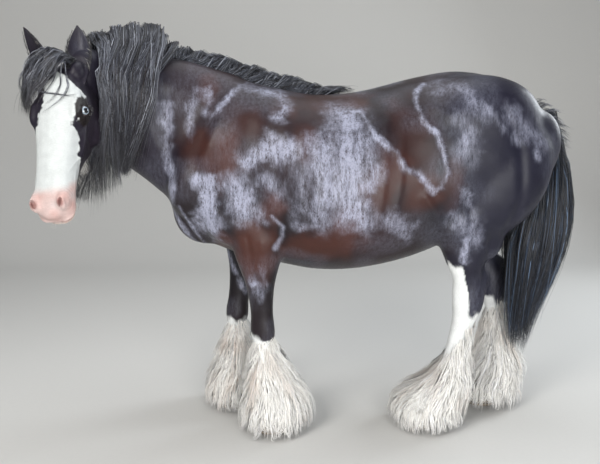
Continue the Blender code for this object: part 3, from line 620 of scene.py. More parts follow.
# An ear: share of its length, half width, depth of the back and depth of the hollow, in head lengths.
EAR_ROWS = (
    (-0.30, 0.040, 0.050, 0.002),
    (0.00, 0.070, 0.085, 0.010),
    (0.22, 0.082, 0.085, 0.035),
    (0.45, 0.086, 0.070, 0.042),
    (0.68, 0.068, 0.048, 0.028),
    (0.86, 0.040, 0.028, 0.012),
    (1.00, 0.008, 0.008, 0.000),
)


def ear(side):
    """A pricked ear with a hollow front, rooted in the head."""
    root, along, across, front = ear_axes(side)
    length = EAR_LENGTH / HEAD_LENGTH
    rings = []
    for share, width, back, hollow in smooth_rows(EAR_ROWS, 2):
        lean = 0.05 * share * abs(share) - 0.06 * max(0.0, -share)
        centre = root + along * (share * length) + front * lean
        ring = []
        for k in range(13):
            t = k / 6 - 1
            ring.append(centre + across * (width * t) - front * (back * (1 - t * t)))
        for k in range(1, 12):
            t = 1 - k / 6
            ring.append(centre + across * (width * 0.86 * t) - front * (hollow * (1 - t * t) - 0.004))
        rings.append(ring)
    return put_in_world([loft("ear_" + side, rings)])[0]


def tree_of(objects):
    """A search tree over the surfaces of all the objects."""
    bm = bmesh.new()
    for obj in objects:
        bm.from_mesh(obj.data)
    tree = BVHTree.FromBMesh(bm)
    bm.free()
    return tree


def clear_of(point, surface, gap):
    """The point, moved out where it lies nearer than gap to the surface or inside it, and the way out."""
    place, normal, _, _ = surface.find_nearest(point)
    if (point - place).dot(normal) < gap:
        point = place + normal * gap
    return point, normal


def falling(start, heading, length, surface, gap, steps, weight):
    """A path from start that sets off along heading and then falls, lying over the surface."""
    points, outs = [start], [surface.find_nearest(start)[1]]
    way = heading.normalized()
    for _ in range(steps):
        way = (way + Vector((0, 0, -weight))).normalized()
        point, out = clear_of(points[-1] + way * (length / steps), surface, gap)
        way = (point - points[-1]).normalized()
        points.append(point)
        outs.append(out)
    return points, outs


def tail_path(share, drop, sway, out):
    """A place in the tail: share of the way down a hair that ends drop below the dock."""
    up = 1.31 - drop * share
    heights = (0.25, 0.45, 0.60, 0.75, 0.90, 1.05, 1.20, 1.30, 1.34)
    behind = float(np.interp(up, heights, (0.690, 0.705, 0.728, 0.748, 0.765, 0.776, 0.788, 0.775, 0.735)))
    spread = float(np.interp(up, heights, (0.22, 0.58, 0.90, 1.14, 1.08, 0.80, 0.48, 0.32, 0.22)))
    return spot(-behind + 0.115 * sway * spread - 0.01, 0.085 * out * spread, up)


def crest_point(forward, surface):
    """The top of the neck at a place along it, with the ways along it and to its left."""
    forwards = [row[0] for row in NECK_ROWS]
    lefts = [row[1] for row in NECK_ROWS]
    left = float(np.interp(forward, forwards, lefts))
    ahead = float(np.interp(forward + 0.02, forwards, lefts))
    hit = surface.ray_cast(spot(forward, left, 2.0), Vector((0, 0, -1)))[0]
    along = spot(0.02, ahead - left, 0).normalized()
    return hit, along, Vector((0, 0, 1)).cross(along)


# Fine forms of the head, over the same skull.


def nostril_rims(head):
    """The fleshy wings round the nostrils, outside and inside, that hug the muzzle."""
    surface = tree_of([head])
    frame = head_frame()
    made = []
    for side in SIDES.values():
        for radii, path in (
            ((0.0025, 0.0040, 0.0052, 0.0056, 0.0046, 0.0025), (
                (0.872, 0.092, 0.004), (0.890, 0.110, -0.004), (0.918, 0.120, -0.026),
                (0.944, 0.114, -0.054), (0.956, 0.096, -0.074), (0.950, 0.078, -0.080))),
            ((0.0025, 0.0038, 0.0044, 0.0030), (
                (0.882, 0.078, 0.002), (0.908, 0.068, -0.016), (0.932, 0.064, -0.042),
                (0.946, 0.068, -0.066))),
        ):
            points = []
            for place in path:
                place, normal = surface.find_nearest(frame @ Vector(on_side(place, side)))[:2]
                points.append(place - normal * 0.0008)
            made.append(cord("rim", points, radii))
    return made


def lip_edges(head):
    """Soft rolls just above and below the line of the mouth."""
    surface = tree_of([head])
    frame = head_frame()
    turn = frame.to_3x3()
    made = []
    for height, thick in ((0.022, 0.0062), (-0.022, 0.0058)):
        points = []
        for k in range(25):
            angle = math.radians(-92 + 184 * k / 24)
            origin = frame @ Vector((0.90, 0, MOUTH_HEIGHT + height))
            way = Vector((math.cos(angle), math.sin(angle), 0))
            hit = surface.ray_cast(origin, (turn @ way).normalized(), 0.2)[0]
            if hit:
                points.append(hit)
        radii = [thick * (1 - 0.6 * abs(2 * k / (len(points) - 1) - 1) ** 3) for k in range(len(points))]
        made.append(cord("lip", points, radii, 8))
    return made


def fine_head():
    """The head with its ears, lids, nostrils and lips, fused finely enough to show their folds."""
    coarse = largest_surface(fuse("head", put_in_world(head_forms()), HEAD_VOXEL, 5))
    extra = nostril_rims(coarse) + lip_edges(coarse)
    rough = fuse("head", [coarse, *extra, ear("left"), ear("right")], FACE_VOXEL, 3)
    combine(largest_surface(rough), eye_openings(), "DIFFERENCE")
    rough = fuse("head", [rough, *put_in_world(lids(1) + lids(-1))], FACE_VOXEL, 2)
    hollows = [*nostril_hollows(), mouth_groove(rough)]
    hollows += [eyeball(side, EYE_RADIUS + 0.0004, "socket") for side in SIDES]
    combine(largest_surface(rough), hollows, "DIFFERENCE")
    return largest_surface(fuse("head", [rough], FACE_VOXEL, 2))


def dock_core():
    """The fleshy root of the tail, out of the rump."""
    return tube("dock", (
        (-0.66, 0, 1.300, 0.036, 0.041),
        (-0.725, 0, 1.290, 0.036, 0.041),
        (-0.772, 0, 1.250, 0.032, 0.038),
        (-0.792, 0, 1.165, 0.026, 0.032),
        (-0.784, 0, 1.045, 0.020, 0.024),
        (-0.770, 0, 0.935, 0.010, 0.012),
    ), spot(1, 0, 0.4), sides=16)


def whole_flesh():
    """Trunk, neck, muscles, legs and dock as one skin."""
    core = [trunk_loft(), tube("neck", NECK_ROWS, spot(*CREST), sides=32), *muscles()]
    soft = fuse("soft", core, TRUNK_VOXEL, 14)
    legs = [leg(kind, side) for kind, side in LEGS]
    heels = [hock_point(side) for side in SIDES]
    rough = fuse("flesh", [soft, *legs, *heels, dock_core()], FLESH_VOXEL, 6)
    return largest_surface(fuse("flesh", [rough], FLESH_FINE_VOXEL, 3))


# Numbers of many points at once.


def rows_of(items, what):
    """A place or a way of each vertex or face, as rows of three numbers."""
    found = np.empty(3 * len(items))
    items.foreach_get(what, found)
    return found.reshape(-1, 3)


def places_of(mesh):
    return rows_of(mesh.vertices, "co")


def ways_out(mesh):
    return rows_of(mesh.vertices, "normal")


def set_places(mesh, places):
    mesh.vertices.foreach_set("co", np.ascontiguousarray(places).ravel())
    mesh.update()


def soft_step(low, high, values):
    """0 below low, 1 above high, and a smooth rise between them."""
    share = np.clip((values - low) / (high - low), 0, 1)
    return share * share * (3 - 2 * share)


def cloud(places, size, seed):
    """Smooth random values from 0 to 1 that change over about size metres."""
    count = 24
    table = np.random.default_rng(seed).random((count, count, count))
    where = places / size
    cell = np.floor(where).astype(int)
    share = where - cell
    share = share * share * (3 - 2 * share)
    found = np.zeros(len(places))
    for corner in range(8):
        step = np.array([corner & 1, corner >> 1 & 1, corner >> 2 & 1])
        weight = np.prod(np.where(step, share, 1 - share), axis=1)
        i, j, k = ((cell + step) % count).T
        found += weight * table[i, j, k]
    return found


def unit(ways):
    return ways / np.maximum(np.linalg.norm(ways, axis=-1, keepdims=True), 1e-9)


def in_head(places):
    """The places in the head's own frame, in head lengths."""
    back = np.array(head_frame().inverted())
    return places @ back[:3, :3].T + back[:3, 3]


def off_line(at, points):
    """How far each place lies from a line of points."""
    nearest = np.full(len(at), 9.0)
    for one, other in zip(points, points[1:]):
        a, b = np.array(one), np.array(other)
        share = np.clip((at - a) @ (b - a) / ((b - a) @ (b - a)), 0, 1)
        nearest = np.minimum(nearest, np.linalg.norm(at - a - share[:, None] * (b - a), axis=1))
    return nearest


# The relief of the body and of the face.

# Two folds that show both as relief and as painted sheen, as forward and up.
ELBOW_FOLD = ((0.36, 0.91), (0.32, 0.87), (0.32, 0.83), (0.35, 0.78))
CHEST_FOLD = ((0.72, 0.94), (0.68, 0.86), (0.63, 0.78))

# Ridges and hollows under the skin of both sides, seen from the side: points as forward and up, then the
# width and the height in metres. Ribs, shoulder blade, arm, flank, hip, thigh and the folds of the chest.
RELIEF = (
    *((((0.30 - 0.062 * k, 1.21 + 0.008 * k), (0.325 - 0.064 * k, 1.04), (0.30 - 0.056 * k, 0.84)),
       0.014, 0.0028) for k in range(8)),
    (((0.335, 1.38), (0.375, 1.22), (0.335, 1.06), (0.315, 0.95)), 0.034, -0.0075),
    (((0.50, 1.39), (0.56, 1.26), (0.62, 1.12)), 0.022, 0.0050),
    (((0.76, 1.36), (0.76, 1.20), (0.75, 1.05)), 0.034, -0.0070),
    (ELBOW_FOLD, 0.012, -0.0050),
    (((0.60, 0.98), (0.53, 0.90), (0.44, 0.89)), 0.022, -0.0050),
    (((0.46, 1.10), (0.40, 1.00), (0.38, 0.92)), 0.020, -0.0040),
    (((0.455, 0.82), (0.440, 0.70), (0.415, 0.58)), 0.011, -0.0042),
    (((0.40, 0.80), (0.385, 0.68), (0.375, 0.58)), 0.012, 0.0030),
    (((0.09, 1.30), (0.01, 1.27), (-0.04, 1.20), (-0.11, 1.15), (-0.15, 1.08), (-0.21, 1.03), (-0.27, 1.01)),
     0.011, 0.0026),
    (((-0.30, 1.07), (-0.28, 1.15), (-0.26, 1.22), (-0.21, 1.27), (-0.19, 1.35), (-0.22, 1.41)),
     0.011, 0.0030),
    (((-0.14, 1.22), (-0.20, 1.14)), 0.070, -0.0100),
    (((-0.27, 1.31), (-0.29, 1.29)), 0.040, 0.0090),
    (((-0.22, 0.98), (-0.29, 0.88), (-0.35, 0.80)), 0.020, 0.0070),
    (((-0.50, 1.34), (-0.585, 1.16), (-0.60, 0.97), (-0.56, 0.84)), 0.020, -0.0060),
    (((-0.40, 0.92), (-0.425, 0.80), (-0.42, 0.71)), 0.014, -0.0042),
    (((-0.47, 0.88), (-0.475, 0.78), (-0.49, 0.70)), 0.013, 0.0030),
    (((0.75, 0.93), (0.70, 0.86), (0.65, 0.79)), 0.008, -0.0040),
    (CHEST_FOLD, 0.008, 0.0030),
    (((0.88, 1.42), (0.84, 1.30), (0.80, 1.16)), 0.020, 0.0040),
    (((0.95, 1.30), (0.87, 1.15), (0.80, 1.04)), 0.018, -0.0050),
)


def raise_relief(obj):
    """Ribs, muscle edges and folds on the trunk, neck and upper legs."""
    places, ways = places_of(obj.data), ways_out(obj.data)
    at = np.stack([-places[:, 0], places[:, 2]], axis=1)
    side_on = soft_step(0.30, 0.62, np.abs(ways[:, 1])) * (np.abs(places[:, 1]) > 0.05)
    depth = np.zeros(len(places))
    for points, width, height in RELIEF:
        depth += height * np.exp(-(off_line(at, points) / width) ** 2)
    depth += 0.0016 * (cloud(places, 0.045, 21) - 0.5) * soft_step(0.5, 0.8, at[:, 1])
    set_places(obj.data, places + ways * (depth * side_on)[:, None])
    return obj


def sunk(obj, depth):
    """Moves the whole surface inwards by a depth."""
    set_places(obj.data, places_of(obj.data) - ways_out(obj.data) * depth)
    return obj


def smooth_seam(obj, one, other, reach, rounds):
    """Smooths obj where it lies near the surfaces of both of the forms that it was made from."""
    group = obj.vertex_groups.new(name="seam")
    for vert in obj.data.vertices:
        if in_neck_seam(vert.co):
            far = max(tree.find_nearest(vert.co)[3] for tree in (one, other))
            if far < reach:
                group.add([vert.index], 1 - far / reach, "REPLACE")
    smooth = obj.modifiers.new("Smooth", "SMOOTH")
    smooth.vertex_group = "seam"
    smooth.factor = 0.5
    smooth.iterations = rounds
    bake_modifiers(obj)
    obj.vertex_groups.clear()
    return obj


def in_neck_seam(place):
    """Whether a place is far enough forward and up to lie where the head meets the neck."""
    return -place.x > 0.80 and place.z > 1.05


def is_head(places):
    """Which places lie on the head."""
    head = in_head(places)
    return (head[:, 0] > 0.02) & (head[:, 2] > -0.6) & (np.abs(head[:, 1]) < 0.3) & (places[:, 0] < -0.85)


def whole_skin():
    """The skin of the whole animal, just inside the solids by the depth of its coat."""
    body, face = whole_flesh(), fine_head()
    flesh_surface, face_surface = tree_of([body]), tree_of([face])
    thin_out(raise_relief(sunk(body, COAT_DEPTH)), BODY_FACETS)
    thin_out(sunk(face, FACE_COAT_DEPTH), FACE_FACETS)
    combine(body, [face], "UNION")
    largest_surface(body)
    smooth_seam(body, flesh_surface, face_surface, 0.016, 25)
    fold_face(body)
    body.data.shade_smooth()
    body.name = "skin"
    return body


# Lines on each side of the face, in head lengths from the poll as along and up: ridge, veins, cheek and lip.
FACE_LINES = (
    (((0.40, -0.115), (0.54, -0.130), (0.62, -0.140)), 0.016, 0.0030),
    (((0.56, -0.175), (0.62, -0.110), (0.72, -0.060)), 0.007, 0.0016),
    (((0.62, -0.110), (0.74, -0.110), (0.82, -0.120)), 0.006, 0.0012),
    (((0.42, -0.42), (0.47, -0.30), (0.45, -0.18)), 0.022, -0.0040),
    (((0.28, 0.010), (0.36, 0.004), (0.42, -0.020)), 0.012, 0.0022),
    (((0.80, -0.205), (0.86, -0.190), (0.93, -0.186)), 0.010, -0.0020),
)


def fold_face(obj):
    """Fine folds over the eyes and round the nostrils, the vein and the bony ridge of the face."""
    places = places_of(obj.data)
    head = in_head(places)
    depth = np.zeros(len(places))
    for side in SIDES.values():
        eye = head - np.array(on_side(EYE_AT, side))
        nose, up, out = (np.array(way) for way in eye_axes(side))
        across, above = eye @ nose, eye @ up
        far = np.hypot(across * 0.85, above * 1.1) * HEAD_LENGTH / EYE_RADIUS
        ripple = 0.5 + 0.5 * np.cos(2 * math.pi * (far - 1.42) / 0.24)
        lid = soft_step(1.25, 1.42, far) * (1 - soft_step(1.85, 2.25, far))
        depth -= 0.0013 * ripple * lid * (0.35 + 0.65 * soft_step(-0.02, 0.03, above)) * (eye @ out > -0.02)
        nostril = head - np.array(on_side(NOSTRIL_AT, side))
        ring = np.linalg.norm(nostril, axis=1)
        pleat = 0.5 + 0.5 * np.cos(2 * math.pi * ring / 0.019)
        outer = soft_step(0.0, 0.03, nostril[:, 1] * side)
        depth -= 0.0012 * pleat * outer * soft_step(0.050, 0.060, ring) * (1 - soft_step(0.095, 0.130, ring))
        mine = head[:, 1] * side > 0.03
        at = np.stack([head[:, 0], head[:, 2]], axis=1)
        for points, width, height in FACE_LINES:
            depth += mine * height * np.exp(-(off_line(at, points) / width) ** 2)
    wrinkle = cloud(head * np.array([1.0, 1.0, 0.45]), 0.012, 22) - 0.5
    depth += 0.0011 * wrinkle * soft_step(0.86, 0.96, head[:, 0]) * (head[:, 2] > -0.4) * (head[:, 0] < 1.1)
    set_places(obj.data, places + ways_out(obj.data) * depth[:, None])


# Colours, as the same markings and painted sheen for the skin and for every tuft that grows from it.


def linear(hex_colour):
    """An sRGB hex colour as linear red, green and blue."""
    values = [int(hex_colour[i:i + 2], 16) / 255 for i in (1, 3, 5)]
    return np.array([v / 12.92 if v <= 0.04045 else ((v + 0.055) / 1.055) ** 2.4 for v in values])


BLACK = linear("#17161b")
BLUE = linear("#1f1f2d")
BROWN = linear("#2b1d20")
RUST = linear("#44261f")
# The pale blue-grey of the painted sheen: light reflected on the glossy coat, painted into its colour.
PAINTED_SHEEN = linear("#a2a5b8")
WHITE = linear("#dfe1e0")
# The face's white, a little darker than the legs' white: painted shade against the stronger light on the
# head.
SHADED_FACE_WHITE = linear("#c6cac9")
PINK = linear("#c6a29b")
CREAM = linear("#e2dccb")
STAIN = linear("#b98f72")
GREY_TIP = linear("#83828c")
HORN_PALE = linear("#a89a84")
HORN_DARK = linear("#5a4f42")
RIM_DARK = linear("#1c1614")
# A dark rosy line along the mouth: painted shade in the crease between the lips.
MOUTH_CREASE_SHADE = linear("#8d615a")
NOSTRIL_ROSE = linear("#8d5d57")


def mixed(one, other, share):
    """Colours with a share of another one mixed in at each place."""
    share = np.asarray(share)[:, None]
    return one * (1 - share) + other * share


def with_painted_sheen(colour, sheen_share=0.0):
    """The colours with the share of painted sheen on each as a fourth value."""
    return np.concatenate([colour, np.full(len(colour), sheen_share)[:, None]], axis=1)


# Painted sheen, pale strokes of light reflected on the glossy coat: points as forward and up, then width and
# strength.
PAINTED_SHEEN_STROKES = (
    # The base of the neck, the shoulder blade and the point of the shoulder.
    (((0.76, 1.33), (0.76, 1.24), (0.77, 1.14), (0.74, 1.05), (0.75, 0.97)), 0.025, 0.80),
    (((0.65, 1.38), (0.67, 1.30), (0.68, 1.23)), 0.025, 0.55),
    (((0.60, 1.38), (0.61, 1.30)), 0.021, 0.55),
    (((0.59, 1.28), (0.54, 1.33), (0.51, 1.38), (0.46, 1.41)), 0.013, 0.80),
    (((0.48, 1.40), (0.42, 1.38), (0.33, 1.37)), 0.029, 0.60),
    (((0.33, 1.37), (0.31, 1.31), (0.33, 1.28)), 0.025, 0.75),
    (((0.45, 1.11), (0.37, 1.15), (0.29, 1.15)), 0.050, 1.00),
    (((0.36, 1.20), (0.29, 1.16)), 0.029, 0.65),
    (((0.61, 1.02), (0.62, 0.93), (0.58, 0.85)), 0.050, 1.25),
    (((0.50, 1.03), (0.48, 0.98), (0.46, 0.93)), 0.066, 1.20),
    (((0.40, 1.05), (0.31, 0.99)), 0.041, 0.55),
    # The ribs.
    (((0.08, 1.25), (0.06, 1.12), (0.06, 0.93)), 0.083, 1.10),
    (((0.17, 1.16), (0.16, 1.01), (0.17, 0.92)), 0.071, 0.80),
    (((0.25, 1.08), (0.24, 0.96)), 0.058, 0.65),
    (((0.01, 1.20), (-0.02, 1.07), (0.01, 0.96)), 0.037, 0.80),
    (((0.25, 0.87), (0.16, 0.88)), 0.025, 0.60),
    (((0.01, 0.91), (-0.07, 0.89), (-0.15, 0.85)), 0.041, 0.50),
    # The chest, forearm, knee and elbow.
    (((0.77, 0.95), (0.73, 0.87), (0.68, 0.80), (0.62, 0.75), (0.57, 0.72)), 0.011, 0.85),
    (CHEST_FOLD, 0.008, 0.60),
    (((0.56, 0.70), (0.55, 0.65), (0.51, 0.60), (0.48, 0.52)), 0.013, 0.85),
    (((0.43, 0.63), (0.40, 0.56)), 0.033, 0.60),
    (((0.40, 0.70), (0.38, 0.60)), 0.017, 0.40),
    (ELBOW_FOLD, 0.009, 0.80),
    # The upper edge of the flank, and the line from it up to the loin.
    (((0.09, 1.30), (0.02, 1.30), (-0.03, 1.20), (-0.11, 1.15), (-0.13, 1.09), (-0.19, 1.07), (-0.25, 1.00),
      (-0.28, 1.02), (-0.30, 1.07)), 0.014, 0.85),
    (((-0.30, 1.07), (-0.28, 1.15), (-0.26, 1.22), (-0.21, 1.26), (-0.19, 1.33), (-0.19, 1.37),
      (-0.23, 1.41)), 0.010, 0.85),
    (((0.02, 1.38), (-0.15, 1.42)), 0.012, 0.35),
    # The croup, hip, buttock, stifle and thigh.
    (((-0.28, 1.41), (-0.35, 1.39), (-0.42, 1.31)), 0.050, 0.42),
    (((-0.35, 1.28), (-0.37, 1.16)), 0.050, 0.50),
    (((-0.43, 1.33), (-0.51, 1.24)), 0.021, 0.50),
    (((-0.53, 1.28), (-0.61, 1.24), (-0.67, 1.19)), 0.050, 0.50),
    (((-0.56, 1.23), (-0.57, 1.18)), 0.021, 0.50),
    (((-0.65, 1.23), (-0.65, 1.13)), 0.021, 0.50),
    (((-0.37, 1.01), (-0.39, 0.95)), 0.017, 0.50),
    (((-0.37, 0.88), (-0.42, 0.82)), 0.058, 0.55),
    (((-0.40, 0.81), (-0.40, 0.72)), 0.019, 0.80),
)
# Rusty patches: the middle as forward and up, then the reach along, the reach up and the strength.
RUST_PATCHES = (
    ((0.60, 1.39), 0.04, 0.07, 0.60),
    ((0.58, 1.14), 0.12, 0.11, 0.75),
    ((0.52, 1.15), 0.045, 0.12, 0.90),
    ((0.47, 1.27), 0.11, 0.09, 0.50),
    ((0.17, 1.33), 0.22, 0.065, 0.60),
    ((0.23, 1.20), 0.050, 0.09, 0.60),
    ((0.35, 0.94), 0.060, 0.085, 0.95),
    ((0.43, 0.79), 0.085, 0.150, 0.95),
    ((0.16, 0.80), 0.180, 0.080, 0.85),
    ((0.07, 0.86), 0.070, 0.085, 0.90),
    ((0.55, 0.80), 0.045, 0.045, 0.80),
    ((-0.06, 1.04), 0.110, 0.130, 0.80),
    ((-0.16, 1.20), 0.115, 0.145, 0.45),
    ((-0.32, 1.02), 0.045, 0.095, 0.60),
    ((-0.20, 0.99), 0.110, 0.075, 0.70),
    ((0.04, 1.33), 0.070, 0.045, 0.60),
)
# Height where the white of each leg begins at its front and at its rear.
WHITE_TOPS = {
    ("fore", "left"): (0.412, 0.392),
    ("fore", "right"): (0.415, 0.400),
    ("hind", "left"): (0.690, 0.480),
    ("hind", "right"): (0.490, 0.470),
}
# The blaze at places along the head: its left and its right edge, in degrees round from the top to the left,
# about a line at this height.
BLAZE = (
    (0.09, 10, 6), (0.102, 21, 2), (0.156, 35, -12), (0.183, 46, -15), (0.213, 67, -15),
    (0.29, 58, -19), (0.325, 54, -21), (0.389, 46, -27), (0.42, 43, -31), (0.441, 47, -37),
    (0.508, 66, -60), (0.603, 69, -70), (0.645, 97, -92), (0.70, 108, -108), (1.05, 115, -115),
)
BLAZE_MIDDLE = -0.15
# A white streak on the near side of the lower jaw, in head lengths as along and up.
JAW_STREAK = ((0.56, -0.30), (0.60, -0.315), (0.68, -0.265), (0.76, -0.235))


def body_colours(places):
    """The dark coat, bluer over the rump, with its rusty patches."""
    at = np.stack([-places[:, 0], places[:, 2]], axis=1)
    ragged = 0.7 * (cloud(places, 0.11, 1) - 0.5) + 0.5 * (cloud(places, 0.035, 2) - 0.5)
    colour = mixed(BLACK, BROWN, np.clip(cloud(places, 0.30, 3) * 1.5 - 0.35, 0, 1))
    colour = mixed(colour, BLUE, 0.9 * (1 - soft_step(-0.42, -0.22, at[:, 0] + 0.12 * ragged)))
    colour = mixed(colour, BLUE, 0.6 * soft_step(0.68, 0.80, at[:, 0] + 0.1 * ragged))
    for middle, reach, high, strength in RUST_PATCHES:
        far = np.hypot((at[:, 0] - middle[0]) / reach, (at[:, 1] - middle[1]) / high) + ragged
        colour = mixed(colour, RUST, strength * (1 - soft_step(0.25, 1.30, far)))
    return colour


def painted_sheen_of(places):
    """How much painted sheen lies on the coat at each place, from 0 to 1: pale reflected light, painted in.
    """
    at = np.stack([-places[:, 0], places[:, 2]], axis=1)
    ragged = 0.060 * (cloud(places, 0.055, 12) - 0.5) + 0.040 * (cloud(places, 0.018, 13) - 0.5)
    sheen_share = np.zeros(len(places))
    for points, width, strength in PAINTED_SHEEN_STROKES:
        off = (off_line(at, points) + ragged * min(1.0, width / 0.04)) / (width * 1.30)
        sheen_share = np.maximum(sheen_share, strength * (1 - soft_step(-0.35, 1.20, off)))
    patchy = 0.55 + 0.95 * cloud(places * np.array([1.0, 1.0, 0.45]), 0.028, 19)
    # A faint painted sheen over the whole coat as well.
    thin = 0.10 * soft_step(0.40, 0.75, cloud(places, 0.09, 14))
    return np.clip(np.maximum(sheen_share * patchy, thin), 0, 1) * (1 - leg_white(places)) * ~is_head(places)


def leg_white(places):
    """How much of the white of a leg lies at each place, from 0 to 1."""
    forward, left, up = -places[:, 0], -places[:, 1], places[:, 2]
    ragged = 0.034 * (cloud(places, 0.018, 4) - 0.5) + 0.02 * (cloud(places, 0.06, 5) - 0.5)
    white = np.zeros(len(places))
    for (kind, side), (front, rear) in WHITE_TOPS.items():
        mine = (forward > 0.0 if kind == "fore" else forward < -0.1) & (left * SIDES[side] > 0) & (up < 0.8)
        ahead = forward - np.interp(up, *leg_line(kind, side))
        top = rear + (front - rear) * soft_step(-0.005, 0.030, ahead)
        white = np.where(mine, 1 - soft_step(-0.012, 0.012, up - top + ragged), white)
    return white


def leg_line(kind, side):
    """Heights down one leg, lowest first, and how far forward its middle lies at each."""
    heights = np.linspace(0.07, 0.9, 40)
    return heights, [leg_axis(kind, side, up)[0] for up in heights]


def face_colours(places, colour):
    """The broad white blaze, the pink muzzle and the pale lower lip, over the coat's colour."""
    head = in_head(places)
    along, out, up = head.T
    on_face = (along > 0.02) & (up > -0.62) & (np.abs(out) < 0.3)
    ragged = 9.0 * (cloud(places, 0.010, 6) - 0.5) + 8.0 * (cloud(places, 0.030, 7) - 0.5)
    turn = np.degrees(np.arctan2(out, up - BLAZE_MIDDLE))
    rows = np.array(BLAZE)
    left = np.interp(along, rows[:, 0], rows[:, 1])
    right = np.interp(along, rows[:, 0], rows[:, 2])
    inside = np.minimum(left - turn, turn - right) + ragged
    inside = np.minimum(inside, (along - 0.088) * 500 + ragged)
    blaze = soft_step(-1.5, 1.5, inside) * on_face
    muzzle = soft_step(0.815, 0.90, along + 0.0016 * ragged + 0.10 * soft_step(0.0, -0.16, up)) * on_face
    chin = soft_step(-0.175, -0.215, up + 0.0006 * ragged) * soft_step(0.78, 0.84, along) * on_face
    jaw = np.stack([along, up], axis=1)
    off = off_line(jaw, JAW_STREAK) + 0.0006 * ragged
    streak = (1 - soft_step(0.010, 0.020, off)) * (out > 0.02) * on_face
    # The blaze is painted in the darker face white, painted shade against the stronger light on the head.
    white = mixed(SHADED_FACE_WHITE, PINK, muzzle * (0.50 + 0.50 * cloud(places, 0.03, 8)))
    white = mixed(white, CREAM, 0.8 * chin)
    # Painted shade along the crease between the lips.
    crease_shade = (1 - soft_step(0.004, 0.011, np.abs(up - MOUTH_HEIGHT))) * soft_step(0.77, 0.83, along)
    white = mixed(white, MOUTH_CREASE_SHADE, 0.6 * crease_shade)
    return mixed(colour, white, np.maximum.reduce([blaze, muzzle, chin, 0.75 * streak]))


def dark_eyes(places, colour):
    """Bare dark skin round the eyes with a pale spot below, and rosy grey inside the nostrils."""
    head = in_head(places)
    for side in SIDES.values():
        at = head - np.array(on_side(EYE_AT, side))
        nose, up, _ = (np.array(way) for way in eye_axes(side))
        near = np.hypot(at @ nose * 0.80, at @ up) * HEAD_LENGTH / EYE_RADIUS
        near = np.maximum(near, np.linalg.norm(at, axis=1) * HEAD_LENGTH / EYE_RADIUS * 0.62)
        edge = 0.5 * (cloud(places, 0.009, 15) - 0.5)
        colour = mixed(colour, RIM_DARK, 0.94 * (1 - soft_step(1.75, 2.05, near + edge)))
        below = np.linalg.norm(at - nose * 0.055 + up * 0.052, axis=1)
        below = below - (0.016 + 0.020 * cloud(places, 0.007, 16))
        colour = mixed(colour, WHITE, 0.75 * (1 - soft_step(-0.003, 0.004, below)) * (near > 1.3))
        hollow = np.linalg.norm(head - np.array(on_side(NOSTRIL_AT, side)), axis=1)
        colour = mixed(colour, NOSTRIL_ROSE, 0.8 * (1 - soft_step(0.014, 0.036, hollow)))
    return colour


def markings_and_painted_sheen(places):
    """The colour of the coat at each place, and how much painted sheen lies on it."""
    colour = body_colours(places)
    colour = mixed(colour, WHITE, leg_white(places))
    colour = face_colours(places, colour)
    colour = dark_eyes(places, colour)
    return with_painted_sheen(colour, painted_sheen_of(places))


# The unwrap of the skin: flat charts for each region and way out, packed side by side.

REGIONS = ("torso", "neck", "head", "ears", "fore_left", "fore_right", "hind_left", "hind_right")
DETAIL = {"head": 2.2, "ears": 1.6}


def region_of(places):
    """The number of the region that each place lies in."""
    forward, left, up = -places[:, 0], -places[:, 1], places[:, 2]
    head = in_head(places)
    cut = (places - np.array(spot(0.63, 0, 1.22))) @ np.array(spot(0.715, 0, 0.699))
    region = np.where(cut > 0, 1, 0)
    skull = (head[:, 0] > 0.0) & (np.abs(head[:, 1]) < 0.28) & (head[:, 2] < 0.12) & (head[:, 2] > -0.60)
    region = np.where(skull, 2, region)
    region = np.where((head[:, 0] < 0.02) & (head[:, 2] > -0.02) & (head[:, 0] > -0.4), 3, region)
    legs = up < 0.66
    fore, left_side = forward > 0, left > 0
    number = 4 + 2 * (~fore).astype(int) + (~left_side).astype(int)
    return np.where(legs, number, region)


def flat_places(places, ways, region):
    """The chart of each place and where it lies on it, in metres."""
    turn = np.array(head_frame().to_3x3()) / HEAD_LENGTH
    on_head = ((region == 2) | (region == 3))[:, None]
    local = np.where(on_head, places @ turn, places)
    facing = np.where(on_head, ways @ turn, ways)
    axis = np.argmax(np.abs(facing), axis=1)
    sign = np.take_along_axis(facing, axis[:, None], 1)[:, 0] > 0
    chart = region * 6 + axis * 2 + sign
    rows = np.arange(len(local))
    return chart, np.stack([local[rows, (axis + 1) % 3], local[rows, (axis + 2) % 3]], 1)


def pack_charts(sizes):
    """Sets charts side by side in rows in a unit square, and gives their corners and the scale."""
    order = sorted(sizes, key=lambda key: -sizes[key][1])
    scale = 1.0
    while True:
        scale *= 0.97
        corners, x, y, row = {}, 0.0, 0.0, 0.0
        for key in order:
            wide, high = (size * scale + 0.006 for size in sizes[key])
            if x + wide > 1:
                x, y, row = 0.0, y + row, 0.0
            corners[key] = (x + 0.003, y + 0.003)
            x, row = x + wide, max(row, high)
        if y + row < 1:
            return corners, scale


